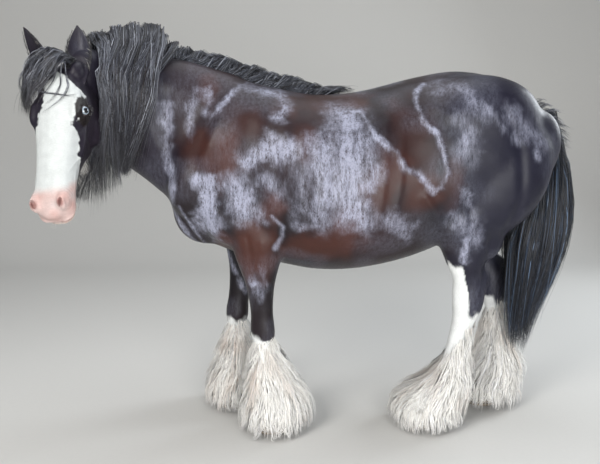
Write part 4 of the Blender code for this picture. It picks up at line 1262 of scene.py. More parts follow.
class Unwrap:
    """The unwrap of one skin, which also gives the place on it of any point near the skin."""

    def __init__(self, mesh):
        centres = rows_of(mesh.polygons, "center")
        self.ways = rows_of(mesh.polygons, "normal")
        self.region = region_of(centres)
        chart, flat = flat_places(centres, self.ways, self.region)
        self.sizes, self.lows, self.zoom = {}, {}, {}
        for key in np.unique(chart):
            mine = flat[chart == key]
            zoom = DETAIL.get(REGIONS[key // 6], 1.0)
            self.lows[key], self.zoom[key] = mine.min(axis=0), zoom
            self.sizes[key] = tuple((mine.max(axis=0) - mine.min(axis=0)) * zoom)
        self.corners, self.scale = pack_charts(self.sizes)

    def on_map(self, chart, flat):
        """Where places on their charts lie on the whole map."""
        found = np.zeros((len(chart), 2))
        for key, corner in self.corners.items():
            mine = chart == key
            shift = (flat[mine] - self.lows[key]) * self.zoom[key]
            shift = np.clip(shift, -0.002 / self.scale, np.array(self.sizes[key]) + 0.002 / self.scale)
            found[mine] = np.array(corner) + shift * self.scale
        return found

    def at(self, places, ways):
        chart, flat = flat_places(places, ways, region_of(places))
        return self.on_map(chart, flat)

    def put_on(self, mesh):
        """Gives the skin its own map, each face whole on one chart."""
        count = len(mesh.loops)
        corners = np.empty(count, int)
        mesh.loops.foreach_get("vertex_index", corners)
        totals = np.empty(len(mesh.polygons), int)
        mesh.polygons.foreach_get("loop_total", totals)
        loop_face = np.repeat(np.arange(len(totals)), totals)
        places = places_of(mesh)[corners]
        chart, flat = flat_places(places, self.ways[loop_face], self.region[loop_face])
        write_map(mesh, self.on_map(chart, flat))


def write_map(mesh, values):
    """The map for baking: a place on the unwrap for each corner of a face."""
    layer = mesh.uv_layers.new(name="OFBake")
    layer.uv.foreach_set("vector", np.ascontiguousarray(values).ravel())


def write_tint(mesh, colours):
    """Colours at every point, with the share of painted sheen as a fourth value where there is one."""
    layer = mesh.color_attributes.new("tint", "FLOAT_COLOR", "POINT")
    if colours.shape[1] == 3:
        colours = with_painted_sheen(colours)
    layer.data.foreach_set("color", np.ascontiguousarray(colours).ravel())


# Strands, as slim three-sided solids that taper to a point.


# How wide the patch of one strand is on the unwrap.
STRAND_PATCH = 0.003


def strand_faces(steps):
    """The corners of the faces of one strand, one face after another, and how many corners each has."""
    quads, tris = [], [(0, 1, 2)]
    for i in range(steps - 2):
        for a in range(3):
            b = (a + 1) % 3
            quads.append((3 * i + b, 3 * i + a, 3 * i + 3 + a, 3 * i + 3 + b))
    last = 3 * (steps - 2)
    for a in range(3):
        tris.append((last + (a + 1) % 3, last + a, last + 3))
    corners = np.concatenate([np.array(quads).ravel(), np.array(tris).ravel()]).astype(int)
    return corners, np.array([4] * len(quads) + [3] * len(tris))


def repeated_mesh(name, verts, corners, totals):
    """A mesh with the same faces on the points of every strand, and the point at each of its corners."""
    count, per = verts.shape[:2]
    strand = np.arange(count)[:, None]
    point_at = (corners + per * strand).ravel()
    starts = np.concatenate([[0], np.cumsum(totals)[:-1]])
    mesh = bpy.data.meshes.new(name)
    mesh.vertices.add(count * per)
    mesh.vertices.foreach_set("co", verts.ravel())
    mesh.loops.add(count * len(corners))
    mesh.loops.foreach_set("vertex_index", point_at)
    mesh.polygons.add(count * len(totals))
    mesh.polygons.foreach_set("loop_start", (starts + len(corners) * strand).ravel())
    mesh.update(calc_edges=True)
    return mesh, point_at


def ring_by_ring(rings, tips):
    """Values for every point of each strand: three for each ring but the last, and one for the tip."""
    return np.concatenate([rings[:, :-1].reshape(len(rings), -1, rings.shape[-1]), tips[:, -1:]], axis=1)


def on_rings(values):
    """The value at each step of each strand, for all three points of its ring."""
    return ring_by_ring(np.repeat(values[:, :, None], 3, axis=2), values)


def strand_mesh(name, paths, widths, outs, tints, patches, sunk_in=0.0):
    """One mesh of all the strands, from their paths, widths, ways out, colours and places on the unwrap.

    The share sunk_in of each shading normal is the way out of what lies under the strand. At 1, which is for
    the short coat, the strands are also lower.
    """
    steps = paths.shape[1]
    along = unit(np.gradient(paths, axis=1))
    across = unit(np.cross(along, outs))
    up = np.cross(across, along)
    half = (widths / 2)[..., None]
    low, high = (0.05, 0.12) if sunk_in == 1 else (0.25, 0.65)
    ring = np.stack([
        paths - across * half - up * half * low,
        paths + across * half - up * half * low,
        paths + up * half * high,
    ], axis=2)
    mesh, point_at = repeated_mesh(name, ring_by_ring(ring, paths), *strand_faces(steps))
    shares = np.concatenate([np.repeat(np.linspace(0, 1, steps)[:-1], 3), [1.0]])
    sides = np.concatenate([np.tile([0.0, 1.0, 0.5], steps - 1), [0.5]])
    spread = STRAND_PATCH * (np.stack([sides, shares], axis=1) - 0.5)
    on_map = (patches[:, None, :] + spread[None, :, :]).reshape(-1, 2)
    write_map(mesh, on_map[point_at])
    write_tint(mesh, on_rings(tints).reshape(-1, tints.shape[2]))
    mesh.shade_smooth()
    if sunk_in:
        own = np.stack([-across * 0.9 - up * 0.3, across * 0.9 - up * 0.3, up], axis=2)
        ways = unit(ring_by_ring(own, along) * (1 - sunk_in) + unit(on_rings(outs)) * sunk_in)
        mesh.normals_split_custom_set_from_vertices(ways.reshape(-1, 3).tolist())
    return new_object(name, mesh)


def grow(guides, outs, per, wide, deep, rng, clump=0.7, wave=0.006, shorten=0.25, stray=0.06):
    """Strands round each guide, spread out at its root and drawn together towards its tip."""
    count, steps = guides.shape[:2]
    total = count * per
    which = np.repeat(np.arange(count), per)
    reach = 1 - shorten * rng.random(total) ** 1.6
    at = reach[:, None] * np.linspace(0, steps - 1, steps)[None, :]
    low = np.minimum(at.astype(int), steps - 2)
    share = (at - low)[..., None]
    rows = which[:, None]
    paths = guides[rows, low] * (1 - share) + guides[rows, low + 1] * share
    ways = outs[rows, low] * (1 - share) + outs[rows, low + 1] * share
    along = unit(np.gradient(paths, axis=1))
    across = unit(np.cross(along, ways))
    ways = np.cross(across, along)
    t = np.linspace(0, 1, steps)[None, :, None]
    side = rng.uniform(-1, 1, (total, 1, 1))
    layer = rng.random((total, 1, 1)) ** 1.3
    loose = np.where(rng.random((total, 1, 1)) < stray, 2.2, 1.0)
    keep = 1 - clump * t ** 0.8
    sway = rng.normal(0, 1, (total, 1, 1)) * loose
    turn = rng.uniform(0, 2 * math.pi, (total, 1, 1))
    waves = wave * t * np.sin(5.0 * t * rng.uniform(0.7, 1.5, (total, 1, 1)) + turn)
    paths = paths + across * (wide * side * keep + wave * 1.6 * sway * t ** 2 + waves)
    paths = paths + ways * (deep * layer * keep + waves * 0.5 + wave * 0.8 * (loose - 1) * t)
    return paths, ways


def lifted(paths, surface, least):
    """The paths with every point at least so far out of the surface."""
    made = paths.copy()
    for strand in made:
        for i in range(1, len(strand)):
            point = Vector(strand[i])
            place, normal = surface.find_nearest(point, 0.25)[:2]
            if place is not None and (point - place).dot(normal) < least:
                strand[i] = place + normal * least
    return made


def tapered(count, steps, width, rng):
    """Widths along each strand: slim at its root, full and then drawn out to its tip."""
    shape = np.interp(np.linspace(0, 1, steps), (0, 0.15, 0.55, 1), (0.6, 1, 0.85, 0.1))
    return shape[None, :] * width * rng.uniform(0.7, 1.25, (count, 1))


def shaded(colours, steps, rng, vary=0.18, tip=None, tip_share=0.0):
    """Colours along each strand, a little lighter or darker from one to the next, fading to a tip colour."""
    value = np.exp(rng.normal(0, vary, (len(colours), 1, 1)))
    made = np.repeat(colours[:, None, :3] * value, steps, axis=1)
    if tip is not None:
        share = (tip_share * np.linspace(0, 1, steps) ** 1.5)[None, :, None]
        share = share * rng.uniform(0.3, 1.0, (len(colours), 1, 1))
        made = made * (1 - share) + tip * share
    # The share of painted sheen is the same all along a strand.
    sheen_share = np.repeat(colours[:, None, 3:], steps, axis=1)
    return np.concatenate([np.clip(made, 0, 1), sheen_share], axis=2)


def curve(points, steps):
    """A smooth path through points, as so many points evenly along it."""
    points = np.array(points, float)
    at = np.linspace(0, len(points) - 1, steps)
    low = np.minimum(at.astype(int), len(points) - 2)
    t = (at - low)[:, None]
    whole = np.concatenate([[2 * points[0] - points[1]], points, [2 * points[-1] - points[-2]]])
    return on_curve(*(whole[low + i] for i in range(4)), t)


# Guides of the long hair.


def guide_arrays(guides, steps):
    """Lists of paths and ways out as arrays with the same number of points."""
    paths = [curve(points, steps) for points, _ in guides]
    outs = [unit(curve(ways, steps)) for _, ways in guides]
    return np.array(paths), np.array(outs)


def far_mane_guides(rng, surface, count):
    """From the crest over to the far side: swept back and short by the withers, long by the poll."""
    guides = []
    for k in range(count):
        share = (k + rng.random()) / count
        crest, along, left = crest_point(0.19 + 0.84 * share, surface)
        hump = float(soft_step(0.55, 0.72, share))
        rise = 0.020 + 0.018 * math.sin(math.pi * min(1.0, share / 0.7)) + 0.045 * hump
        rise *= rng.uniform(0.5, 1.15)
        first = crest - Vector((0, 0, 0.006)) + left * rng.uniform(-0.016, 0.022)
        back = (1 - hump) * rng.uniform(0.03, 0.09)
        second = crest + Vector((0, 0, rise)) - left * rng.uniform(0.0, 0.02) - along * back
        second += along * hump * rng.uniform(-0.05, 0.02)
        layer = 0.006 + 0.022 * rng.random()
        length = (0.17 + 0.46 * share ** 1.3) * rng.uniform(0.80, 1.12)
        swept = (1 - hump) * rng.uniform(0.5, 1.0) + rng.uniform(-0.15, 0.2)
        heading = -left * (0.55 - 0.10 * hump) - along * swept
        points, outs = falling(second, heading, length, surface, layer, 9, 0.36 + 0.34 * hump)
        guides.append(([first, *points], [left, *outs]))
    return guides


# The near bundle of the mane, as forward, left and up: places down its front edge and down its rear edge.
LOCK_FRONT = ((0.985, 0.310, 1.445), (0.972, 0.278, 1.345), (0.962, 0.208, 1.235), (0.957, 0.110, 1.120))
LOCK_REAR = ((0.818, 0.155, 1.440), (0.834, 0.173, 1.326), (0.872, 0.164, 1.212), (0.930, 0.085, 1.095))
# The hair of the throat behind the cheek, in the same way.
THROAT_FRONT = ((0.985, 0.315, 1.420), (1.000, 0.300, 1.300), (1.045, 0.295, 1.140), (1.078, 0.300, 0.985))
THROAT_REAR = ((0.980, 0.300, 1.430), (0.965, 0.255, 1.300), (0.945, 0.245, 1.160), (0.930, 0.250, 1.035))


def bundle_guides(rng, surface, count, front, rear, crests, rise, dip):
    """Locks from the crest that hang between two edges, where crests gives the ends of their roots."""
    guides = []
    for k in range(count):
        share = (k + rng.random()) / count
        crest, along, left = crest_point(crests[0] + (crests[1] - crests[0]) * share, surface)
        high = rise * (0.45 + 0.55 * min(1.0, share * 2.5)) * rng.uniform(0.50, 1.12)
        root = crest - Vector((0, 0, 0.006)) - left * rng.uniform(-0.014, 0.014)
        swept = along * rng.uniform(-0.050, 0.035)
        top = crest + Vector((0, 0, high)) + left * rng.uniform(-0.01, 0.02) + swept
        over = crest + Vector((0, 0, high * 0.70)) + left * rng.uniform(0.050, 0.080) + swept * 1.2
        layer = 0.005 + 0.030 * rng.random()
        points, outs = [root, top, over], [-left, left * 0.4 + Vector((0, 0, 1)), left + Vector((0, 0, 0.6))]
        drift = share
        for one, other in zip(front, rear):
            drift = min(1.0, max(0.0, drift + rng.normal(0, 0.055)))
            place = spot(*one) * (1 - drift) + spot(*other) * drift
            place, out = clear_of(place, surface, layer)
            points.append(place)
            outs.append(out)
        fall = (points[-1] - points[-2]).normalized() * 0.4 + Vector((0, 0, -0.6))
        points.append(points[-1] + fall * (dip * math.sin(math.pi * share) + 0.03) * rng.uniform(-0.2, 1.0))
        outs.append(outs[-1])
        guides.append((points, outs))
    return guides


# The forelock in head lengths, as along, out and up: its edge by the blaze, its middle and its far edge.
FORELOCK = (
    ((0.00, 0.100, 0.000), (0.01, 0.080, 0.070), (0.07, 0.035, 0.085), (0.13, -0.02, 0.075),
     (0.20, -0.09, 0.058), (0.27, -0.150, 0.030)),
    ((-0.02, 0.040, 0.010), (-0.04, 0.010, 0.105), (0.03, -0.070, 0.110), (0.11, -0.150, 0.070),
     (0.20, -0.205, 0.015), (0.31, -0.230, -0.05)),
    ((-0.03, -0.050, 0.000), (-0.05, -0.085, 0.080), (0.01, -0.170, 0.085), (0.09, -0.235, 0.025),
     (0.18, -0.265, -0.05), (0.28, -0.270, -0.13)),
)
# Thin strands of it that cross the blaze, in the same way.
CROSSING = (
    ((0.04, 0.07, 0.075), (0.125, 0.055, 0.056), (0.18, 0.063, 0.054), (0.235, 0.048, 0.054),
     (0.282, 0.010, 0.055), (0.320, -0.055, 0.048)),
    ((0.03, 0.08, 0.065), (0.140, 0.092, 0.042), (0.19, 0.107, 0.037), (0.244, 0.095, 0.040),
     (0.292, 0.064, 0.048), (0.334, 0.002, 0.052), (0.372, -0.085, 0.035)),
    ((0.20, -0.10, 0.060), (0.227, -0.037, 0.056), (0.248, 0.060, 0.050), (0.256, 0.116, 0.028),
     (0.222, 0.158, -0.002)),
    ((0.05, 0.04, 0.080), (0.13, 0.020, 0.060), (0.19, -0.010, 0.060), (0.27, -0.080, 0.050),
     (0.36, -0.110, 0.020)),
)


def head_path(path, surface, gap, jitter, rng):
    """A path given in the head's frame, in the world, kept clear of the skin."""
    frame = head_frame()
    points, outs = [], []
    for i, (along, out, up) in enumerate(path):
        loose = jitter * min(1.0, i / 2)
        moved = Vector((along, out, up)) + Vector(rng.normal(0, 1, 3)) * loose
        place, way = clear_of(frame @ moved, surface, gap if i else -0.004)
        points.append(place)
        outs.append(way)
    return points, outs


def forelock_guides(rng, surface, count):
    """From between the ears, over the far side of the forehead."""
    guides = []
    for k in range(count):
        share = 2 * (k + rng.random()) / count
        low = min(int(share), 1)
        one, other = np.array(FORELOCK[low]), np.array(FORELOCK[low + 1])
        path = one + (other - one) * (share - low)
        guides.append(head_path(path, surface, 0.002 + 0.010 * rng.random(), 0.012, rng))
    return guides


def crossing_guides(rng, surface):
    """The thin strands of the forelock that cross the blaze."""
    return [head_path(path, surface, 0.003, 0.001, rng) for path in CROSSING]


def tail_guides(rng, count):
    """From the dock down to the hocks, starting at all heights and ending in points."""
    guides = []
    for _ in range(count):
        ring, angle = math.sqrt(rng.random()), rng.uniform(0, 2 * math.pi)
        sway, out = ring * math.cos(angle), ring * math.sin(angle)
        drop = 1.06 * (1 - 0.42 * rng.random() ** 1.6)
        start = 0.42 * rng.random() ** 1.6
        phase = rng.uniform(0, 6)
        points, outs = [], []
        for step in range(LONG_POINTS):
            t = start + (1 - start) * step / (LONG_POINTS - 1)
            near_dock = min(1.0, (t - start) * 4 + 0.25)
            wave = 0.07 * math.sin(5 * t + phase)
            points.append(tail_path(t, drop, (sway + wave) * near_dock, (out + wave) * near_dock))
            outs.append(spot(0.4 * sway - 0.15, out, 0))
        guides.append((points, outs))
    return guides


def dock_fringe_guides(rng, surface, count):
    """Short hairs that stand out along the top of the dock."""
    guides = []
    for k in range(count):
        up = 1.335 - 0.17 * (k + rng.random()) / count
        left = rng.uniform(-0.040, 0.040)
        hit, out = surface.ray_cast(spot(-1.2, left, up), Vector((-1, 0, 0)))[:2]
        if hit is None:
            continue
        length = rng.uniform(0.045, 0.095)
        way = out * 0.75 + spot(-0.25, 3 * left, 0) + Vector((0, 0, rng.uniform(-0.35, 0.05)))
        droop = Vector((0, 0, -0.35))
        points = [hit - out * 0.004, hit + way * length * 0.5, hit + way * length + droop * length]
        guides.append((points, [out] * 3))
    return guides


# Where the feather of each leg begins at its front and at its rear.
FEATHER_TOPS = {
    ("fore", "left"): (0.375, 0.400),
    ("fore", "right"): (0.370, 0.390),
    ("hind", "left"): (0.270, 0.445),
    ("hind", "right"): (0.420, 0.470),
}
# How far the feather reaches from the middle of the leg, at heights over the floor.
FEATHER_SHAPE = {
    "fore": ((0.0, 0.04, 0.10, 0.17, 0.24, 0.30, 0.36, 0.41),
             (0.136, 0.142, 0.146, 0.130, 0.106, 0.084, 0.062, 0.050)),
    "hind": ((0.0, 0.06, 0.14, 0.19, 0.26, 0.33, 0.40, 0.47),
             (0.142, 0.150, 0.152, 0.130, 0.096, 0.074, 0.060, 0.052)),
}


def feather_skirt(kind, side, up, top):
    """The middle of the feather of a leg at a height, and how far it reaches there."""
    forward, left = leg_axis(kind, side, max(up, 0.10))
    hoof_forward, hoof_left = leg_axis(kind, side, 0.07)
    settled = min(1.0, max(0.0, (0.22 - up) / 0.12))
    forward += (hoof_forward - forward) * settled * 0.6
    left += (hoof_left - left) * settled * 0.6
    below = max(0.0, top - up)
    reach = min(float(np.interp(up, *FEATHER_SHAPE[kind])), 0.047 + 0.45 * below + 2.6 * below ** 2)
    return forward, left, reach


def feather_top(kind, side, angle):
    """Where the feather of a leg begins at an angle round it."""
    front, rear = FEATHER_TOPS[kind, side]
    return front + (rear - front) * (1 - math.cos(angle)) / 2


def feather_path(kind, side, top, angle, twist, height, away):
    """A guide of the feather: height and away give its height and its reach at each share of its length."""
    points, outs = [], []
    for step in range(FEATHER_POINTS):
        t = step / (FEATHER_POINTS - 1)
        up = height(t)
        forward, left, skirt = feather_skirt(kind, side, up, top)
        reach = away(t, up, skirt)
        ahead, out = math.cos(angle + twist * t), math.sin(angle + twist * t)
        points.append(spot(forward + reach * ahead, left + reach * out, up))
        outs.append(spot(ahead, out, 0.70))
    return points, outs


def feather_guides(kind, side, rng, count):
    """Layered locks that flare from the lower leg over the hoof and end at all heights."""
    guides = []
    for k in range(count):
        angle = 2 * math.pi * (k + rng.random()) / count * 7.0
        top = feather_top(kind, side, angle)
        begin = 0.075 + (top - 0.075) * rng.random() ** 0.8
        end = 0.006 + (begin - 0.060) * max(0.0, rng.uniform(-0.45, 0.80))
        layer = rng.uniform(0.74, 1.03) * (1.05 if math.cos(angle) < -0.3 else 1.0)
        curl, twist = rng.uniform(0.0, 0.016), rng.normal(0, 0.16)

        def away(t, up, skirt):
            shank = 0.030 + 0.018 * min(1.0, max(0.0, (0.22 - up) / 0.12))
            return shank + (max(skirt * layer, shank) - shank) * min(1.0, t / 0.62) ** 0.8 + curl * t ** 3

        def height(t):
            return begin + (end - begin) * t

        guides.append(feather_path(kind, side, top, angle, twist, height, away))
    return guides


def feather_tuft_guides(kind, side, rng, count):
    """Short tufts that part from the outside of the feather and curl away, in layers down to the floor."""
    guides = []
    for k in range(count):
        angle = 2 * math.pi * (k + rng.random()) / count * 9.0
        top = feather_top(kind, side, angle)
        begin = 0.070 + (top - 0.035) * rng.random()
        length = rng.uniform(0.055, 0.105)
        lean, twist = rng.uniform(0.0, 0.022) * min(1.0, max(0.0, (top - begin) / 0.06)), rng.normal(0, 0.22)

        def away(t, up, skirt):
            return skirt * (0.74 + 0.22 * min(1.0, 2 * t)) + lean * t ** 2

        def height(t):
            return max(0.012, begin - length * t)

        guides.append(feather_path(kind, side, top, angle, twist, height, away))
    return guides


# Single hairs of the face: the line that they stand on as along, out and up in head lengths, how many, how
# long, how wide, how much they hang, and whether they are pale.
FACE_HAIRS = (
    (((0.34, 0.060, -0.47), (0.50, 0.050, -0.37), (0.66, 0.040, -0.28), (0.80, 0.030, -0.25)),
     260, 0.036, 0.0011, 0.9, False),
    (((0.56, 0.060, -0.31), (0.62, 0.070, -0.30), (0.72, 0.060, -0.26)), 60, 0.030, 0.0011, 0.6, True),
    (((0.84, 0.060, -0.27), (0.93, 0.020, -0.26)), 26, 0.030, 0.0005, 0.4, True),
    (((0.90, 0.110, -0.15), (0.97, 0.060, -0.16), (1.0, 0.010, -0.16)), 26, 0.024, 0.0005, 0.3, True),
    (((0.24, 0.150, 0.02), (0.32, 0.165, 0.01)), 5, 0.030, 0.0005, 0.1, False),
)
# How much each kind of single hair sags towards its tip.
WHISKER_SAG = Vector((0, 0, -0.25))
LASH_SAG = Vector((0, 0, 0.1))
EAR_HAIR_SAG = Vector((0, 0, -0.15))


def face_hair_paths(surface, rng):
    """The beard, whiskers, eyelashes and ear hair: paths, ways out, widths and colours."""
    frame = head_frame()
    turn = frame.to_3x3()
    made = []
    for side in SIDES.values():
        for line, count, length, width, hang, pale in FACE_HAIRS:
            line = curve([on_side(place, side) for place in line], 40)
            for _ in range(count):
                start = frame @ (Vector(line[rng.integers(40)]) + Vector(rng.normal(0, 0.008, 3)))
                place, out = surface.find_nearest(start)[:2]
                way = (out + Vector((0, 0, -hang)) + Vector(rng.normal(0, 0.12, 3))).normalized()
                made.append((place, way, out, length * rng.uniform(0.5, 1.15), width, pale, WHISKER_SAG))
        made += lashes(side, frame, turn, rng)
    return made + ear_hairs("left", rng) + ear_hairs("right", rng)


def lashes(side, frame, turn, rng):
    """Eyelashes along the edges of both lids."""
    nose, up, out = (Vector(way) for way in eye_axes(side))
    centre = Vector(on_side(EYE_AT, side))
    radius = EYE_RADIUS / HEAD_LENGTH
    made = []
    for height, count, length in ((0.95, 60, 0.014), (-0.82, 24, 0.007)):
        for _ in range(count):
            t = rng.uniform(-0.80, 0.80)
            edge = nose * 1.02 * t + up * height * (1 - abs(t) ** 2.4)
            root = frame @ (centre + edge * radius + out * radius * 0.80)
            way = (turn @ (out * 0.8 + up * 0.75 * height + nose * 0.35 * t)).normalized()
            reach = length * rng.uniform(0.7, 1.1)
            made.append((root, way, way.orthogonal(), reach, 0.0006, False, LASH_SAG))
    return made


def ear_hairs(side, rng):
    """Hairs along both rims of an ear, most of them across its hollow."""
    frame = head_frame()
    turn = frame.to_3x3()
    root, along, across, front = ear_axes(side)
    made = []
    for _ in range(420):
        share, edge = rng.uniform(-0.05, 0.88), rng.choice((-1, 1))
        width = float(np.interp(share, [row[0] for row in EAR_ROWS[1:]], [row[1] for row in EAR_ROWS[1:]]))
        place = root + along * (share * EAR_LENGTH / HEAD_LENGTH) + across * (edge * width * 0.94)
        place += front * (0.05 * share * abs(share) - 0.004)
        inward = rng.uniform(-0.15, 0.9)
        way = turn @ (along * 0.75 - across * (edge * inward) + front * 0.35)
        length = 0.034 * (1.15 - share) * rng.uniform(0.5, 1.2)
        made.append((frame @ place, way.normalized(), (turn @ front).normalized(), length, 0.0009,
                     rng.random() < 0.04, EAR_HAIR_SAG))
    return made


def face_hairs(surface, chart, rng):
    """One piece with all the single hairs of the head."""
    made = face_hair_paths(surface, rng)
    steps = np.linspace(0, 1, 5)[None, :, None]
    place, way, out, sag = (np.array([row[i] for row in made], float) for i in (0, 1, 2, 6))
    length = np.array([row[3] for row in made])[:, None, None]
    paths = place[:, None] - way[:, None] * 0.001 + way[:, None] * length * steps
    paths = paths + sag[:, None] * length * steps ** 2
    width = np.array([row[4] for row in made])[:, None] * np.array([[1.0, 1.0, 0.8, 0.5, 0.15]])
    outs = np.repeat(out[:, None], 5, axis=1)
    pale = np.array([row[5] for row in made])
    colours = np.where(pale[:, None], linear("#c9c6c0"), linear("#17151a"))
    tints = shaded(with_painted_sheen(colours), 5, rng, 0.2)
    return strand_mesh("face_hairs", paths, width, outs, tints, chart.at(place, out))


# The short coat.


def coat_roots(mesh, count, rng, wanted):
    """Random places on the part of the skin that is wanted, with the way out at each."""
    mesh.calc_loop_triangles()
    corners = np.empty(3 * len(mesh.loop_triangles), int)
    mesh.loop_triangles.foreach_get("vertices", corners)
    corners = corners.reshape(-1, 3)
    places = places_of(mesh)
    normals = ways_out(mesh)
    a, b, c = (places[corners[:, i]] for i in range(3))
    area = np.linalg.norm(np.cross(b - a, c - a), axis=1) * wanted((a + b + c) / 3)
    picked = rng.choice(len(corners), count, p=area / area.sum())
    share = rng.random((count, 2))
    fold = share.sum(axis=1) > 1
    share[fold] = 1 - share[fold]
    weights = np.stack([1 - share.sum(axis=1), share[:, 0], share[:, 1]], axis=1)[..., None]
    where = (places[corners[picked]] * weights).sum(axis=1)
    ways = unit((normals[corners[picked]] * weights).sum(axis=1))
    return where, ways


def coat_lie(places, ways):
    """The way the short coat lies: back and down along the body, down the legs, and down the face."""
    turn = np.array(head_frame().to_3x3()) / HEAD_LENGTH
    up = places[:, 2]
    on_leg = (1 - soft_step(0.70, 0.92, up))[:, None]
    flow = np.array([1.0, 0.0, -0.45]) * (1 - on_leg) + np.array([0.15, 0.0, -1.0]) * on_leg
    swirl = np.stack([cloud(places, 0.20, 17) - 0.5, 0 * up, cloud(places, 0.20, 18) - 0.5], axis=1)
    down_face = turn @ np.array([0.9, 0.0, -0.35])
    flow = np.where(is_head(places)[:, None], down_face, flow + 1.1 * swirl)
    flow = flow - ways * (flow * ways).sum(axis=1, keepdims=True)
    return unit(flow)


def short_coat(name, skin, chart, rng, wanted, count, length, width, rise):
    """Flat lying blades of the short coat over the part of the skin that is wanted."""
    places, ways = coat_roots(skin.data, count, rng, wanted)
    lie = coat_lie(places, ways)
    lie = unit(lie + rng.normal(0, 0.13, (count, 3)))
    lie = unit(lie - ways * (lie * ways).sum(axis=1, keepdims=True))
    lengths = length * rng.uniform(0.65, 1.2, count)
    rises = rise * rng.uniform(0.4, 1.2, count)
    paths = np.stack([
        places - ways * 0.0008,
        places + lie * lengths[:, None] + ways * rises[:, None],
    ], axis=1)
    outs = np.repeat(ways[:, None], 2, axis=1)
    widths = np.repeat((width * rng.uniform(0.7, 1.2, count))[:, None], 2, axis=1)
    tints = shaded(markings_and_painted_sheen(places), 2, rng, 0.12)
    return strand_mesh(name, paths, widths, outs, tints, chart.at(places, ways), 1)


# Streaks of the painted sheen in a metre, across both ways and upright: about 10 by 45 mm, and 2.4 by 11 mm.
BROAD_STREAKS = (95.0, 95.0, 22.0)
FINE_STREAKS = (420.0, 420.0, 90.0)


def sheen_painted_tint(tree, where):
    """The tint with its painted sheen laid on in fine upright streaks: painted highlights, as hair shines in
    the light.
    """
    tint = node(tree, "ShaderNodeVertexColor", layer_name="tint")
    streaks = []
    for scale in (BROAD_STREAKS, FINE_STREAKS):
        stretch = node(tree, "ShaderNodeMapping", [("Vector", where, "Object")], Scale=scale)
        noise = node(tree, "ShaderNodeTexNoise", [("Vector", stretch, "Vector")], Scale=1.0, Detail=2.0)
        streaks.append(noise)
    both = node(tree, "ShaderNodeMath", [(0, streaks[0], "Fac"), (1, streaks[1], "Fac")], operation="ADD")
    spread = node(tree, "ShaderNodeMath", [(0, both, "Value")], operation="MULTIPLY_ADD")
    spread.inputs[1].default_value = 2.6
    spread.inputs[2].default_value = -1.6
    strong = node(tree, "ShaderNodeMath", [(0, tint, "Alpha"), (1, spread, "Value")], operation="MULTIPLY")
    share = node(tree, "ShaderNodeMapRange", [("Value", strong, "Value")], From_Max=1.15, To_Max=0.86)
    colour = node(tree, "ShaderNodeMix", data_type="RGBA")
    tree.links.new(share.outputs["Result"], colour.inputs[0])
    tree.links.new(tint.outputs["Color"], colour.inputs[6])
    colour.inputs[7].default_value = (*PAINTED_SHEEN, 1)
    return colour.outputs[2]


# Eyes.


def eye_ball(side):
    """An eyeball with its cornea, painted from the middle of the pupil outwards."""
    nose, up, out = (Vector(way) for way in eye_axes(SIDES[side]))
    bm = bmesh.new()
    bmesh.ops.create_uvsphere(bm, u_segments=96, v_segments=64, radius=1)
    rows = []
    for vert in bm.verts:
        x, y, z = vert.co
        bulge = 1 + 0.075 * max(0.0, z - 0.72) / 0.28
        rows.append((x, y, z))
        vert.co = (nose * x + up * y + out * z) * (EYE_RADIUS * bulge / HEAD_LENGTH)
    turn = head_frame().to_3x3()
    centre = head_frame() @ Vector(on_side(EYE_AT, SIDES[side]))
    for vert in bm.verts:
        vert.co = centre + turn @ vert.co
    obj = object_from_bmesh("eyeball_" + side, bm)
    write_tint(obj.data, eye_colours(np.array(rows)))
    obj.data.shade_smooth()
    return obj


def eye_colours(rows):
    """Wide oval pupil, ring of grey-blue iris with fine rays, dark edge, and the dark white of the eye."""
    x, y, z = rows.T
    radius = np.hypot(x, y)
    angle = np.arctan2(y, x)
    rays = 0.5 + 0.5 * np.sin(angle * 61 + 3 * np.sin(angle * 7)) * np.sin(angle * 23 + 1.7)
    colour = mixed(np.tile(linear("#8593a0"), (len(x), 1)), linear("#bcc8d2"), 0.65 * rays)
    pupil = np.hypot(x / 0.44, y / 0.34)
    colour = mixed(colour, linear("#4c5b68"), 0.7 * (1 - soft_step(1.0, 1.25, pupil)))
    colour = mixed(colour, linear("#0a0b0e"), 1 - soft_step(0.94, 1.05, pupil))
    colour = mixed(colour, linear("#1c2128"), 0.9 * soft_step(0.57, 0.66, radius))
    white = soft_step(0.68, 0.76, radius) + (z < 0)
    return mixed(colour, linear("#4a3a36"), np.clip(white, 0, 1))


# Materials.


def node(tree, kind, links=(), **settings):
    """Adds one node with its settings; links are (its socket, the node and socket that feed it)."""
    made = tree.nodes.new(kind)
    for key, value in settings.items():
        if hasattr(made, key):
            setattr(made, key, value)
        else:
            made.inputs[key.replace("_", " ")].default_value = value
    for socket, source, name in links:
        tree.links.new(source.outputs[name], made.inputs[socket])
    return made


def new_material(name):
    material = bpy.data.materials.new(name)
    material.use_nodes = True
    return material, material.node_tree, material.node_tree.nodes["Principled BSDF"]


def set_shader(shader, **values):
    """Sets constants on the sockets of the shader, with _ for a space in a name."""
    for key, value in values.items():
        shader.inputs[key.replace("_", " ")].default_value = value


def hair_bump(tree, shader, across, along, strength, distance):
    """Fine lines along the lie of short hair: across and along are its width and length in metres."""
    where = node(tree, "ShaderNodeTexCoord")
    per_metre = (1 / along, 1 / across, 1 / across)
    stretch = node(tree, "ShaderNodeMapping", [("Vector", where, "Object")], Scale=per_metre)
    grain = node(tree, "ShaderNodeTexNoise", [("Vector", stretch, "Vector")], Scale=1.0, Detail=3.0,
                 Roughness=0.6)
    bump = node(tree, "ShaderNodeBump", [("Height", grain, "Fac")], Strength=strength, Distance=distance)
    tree.links.new(bump.outputs["Normal"], shader.inputs["Normal"])
    return where, grain


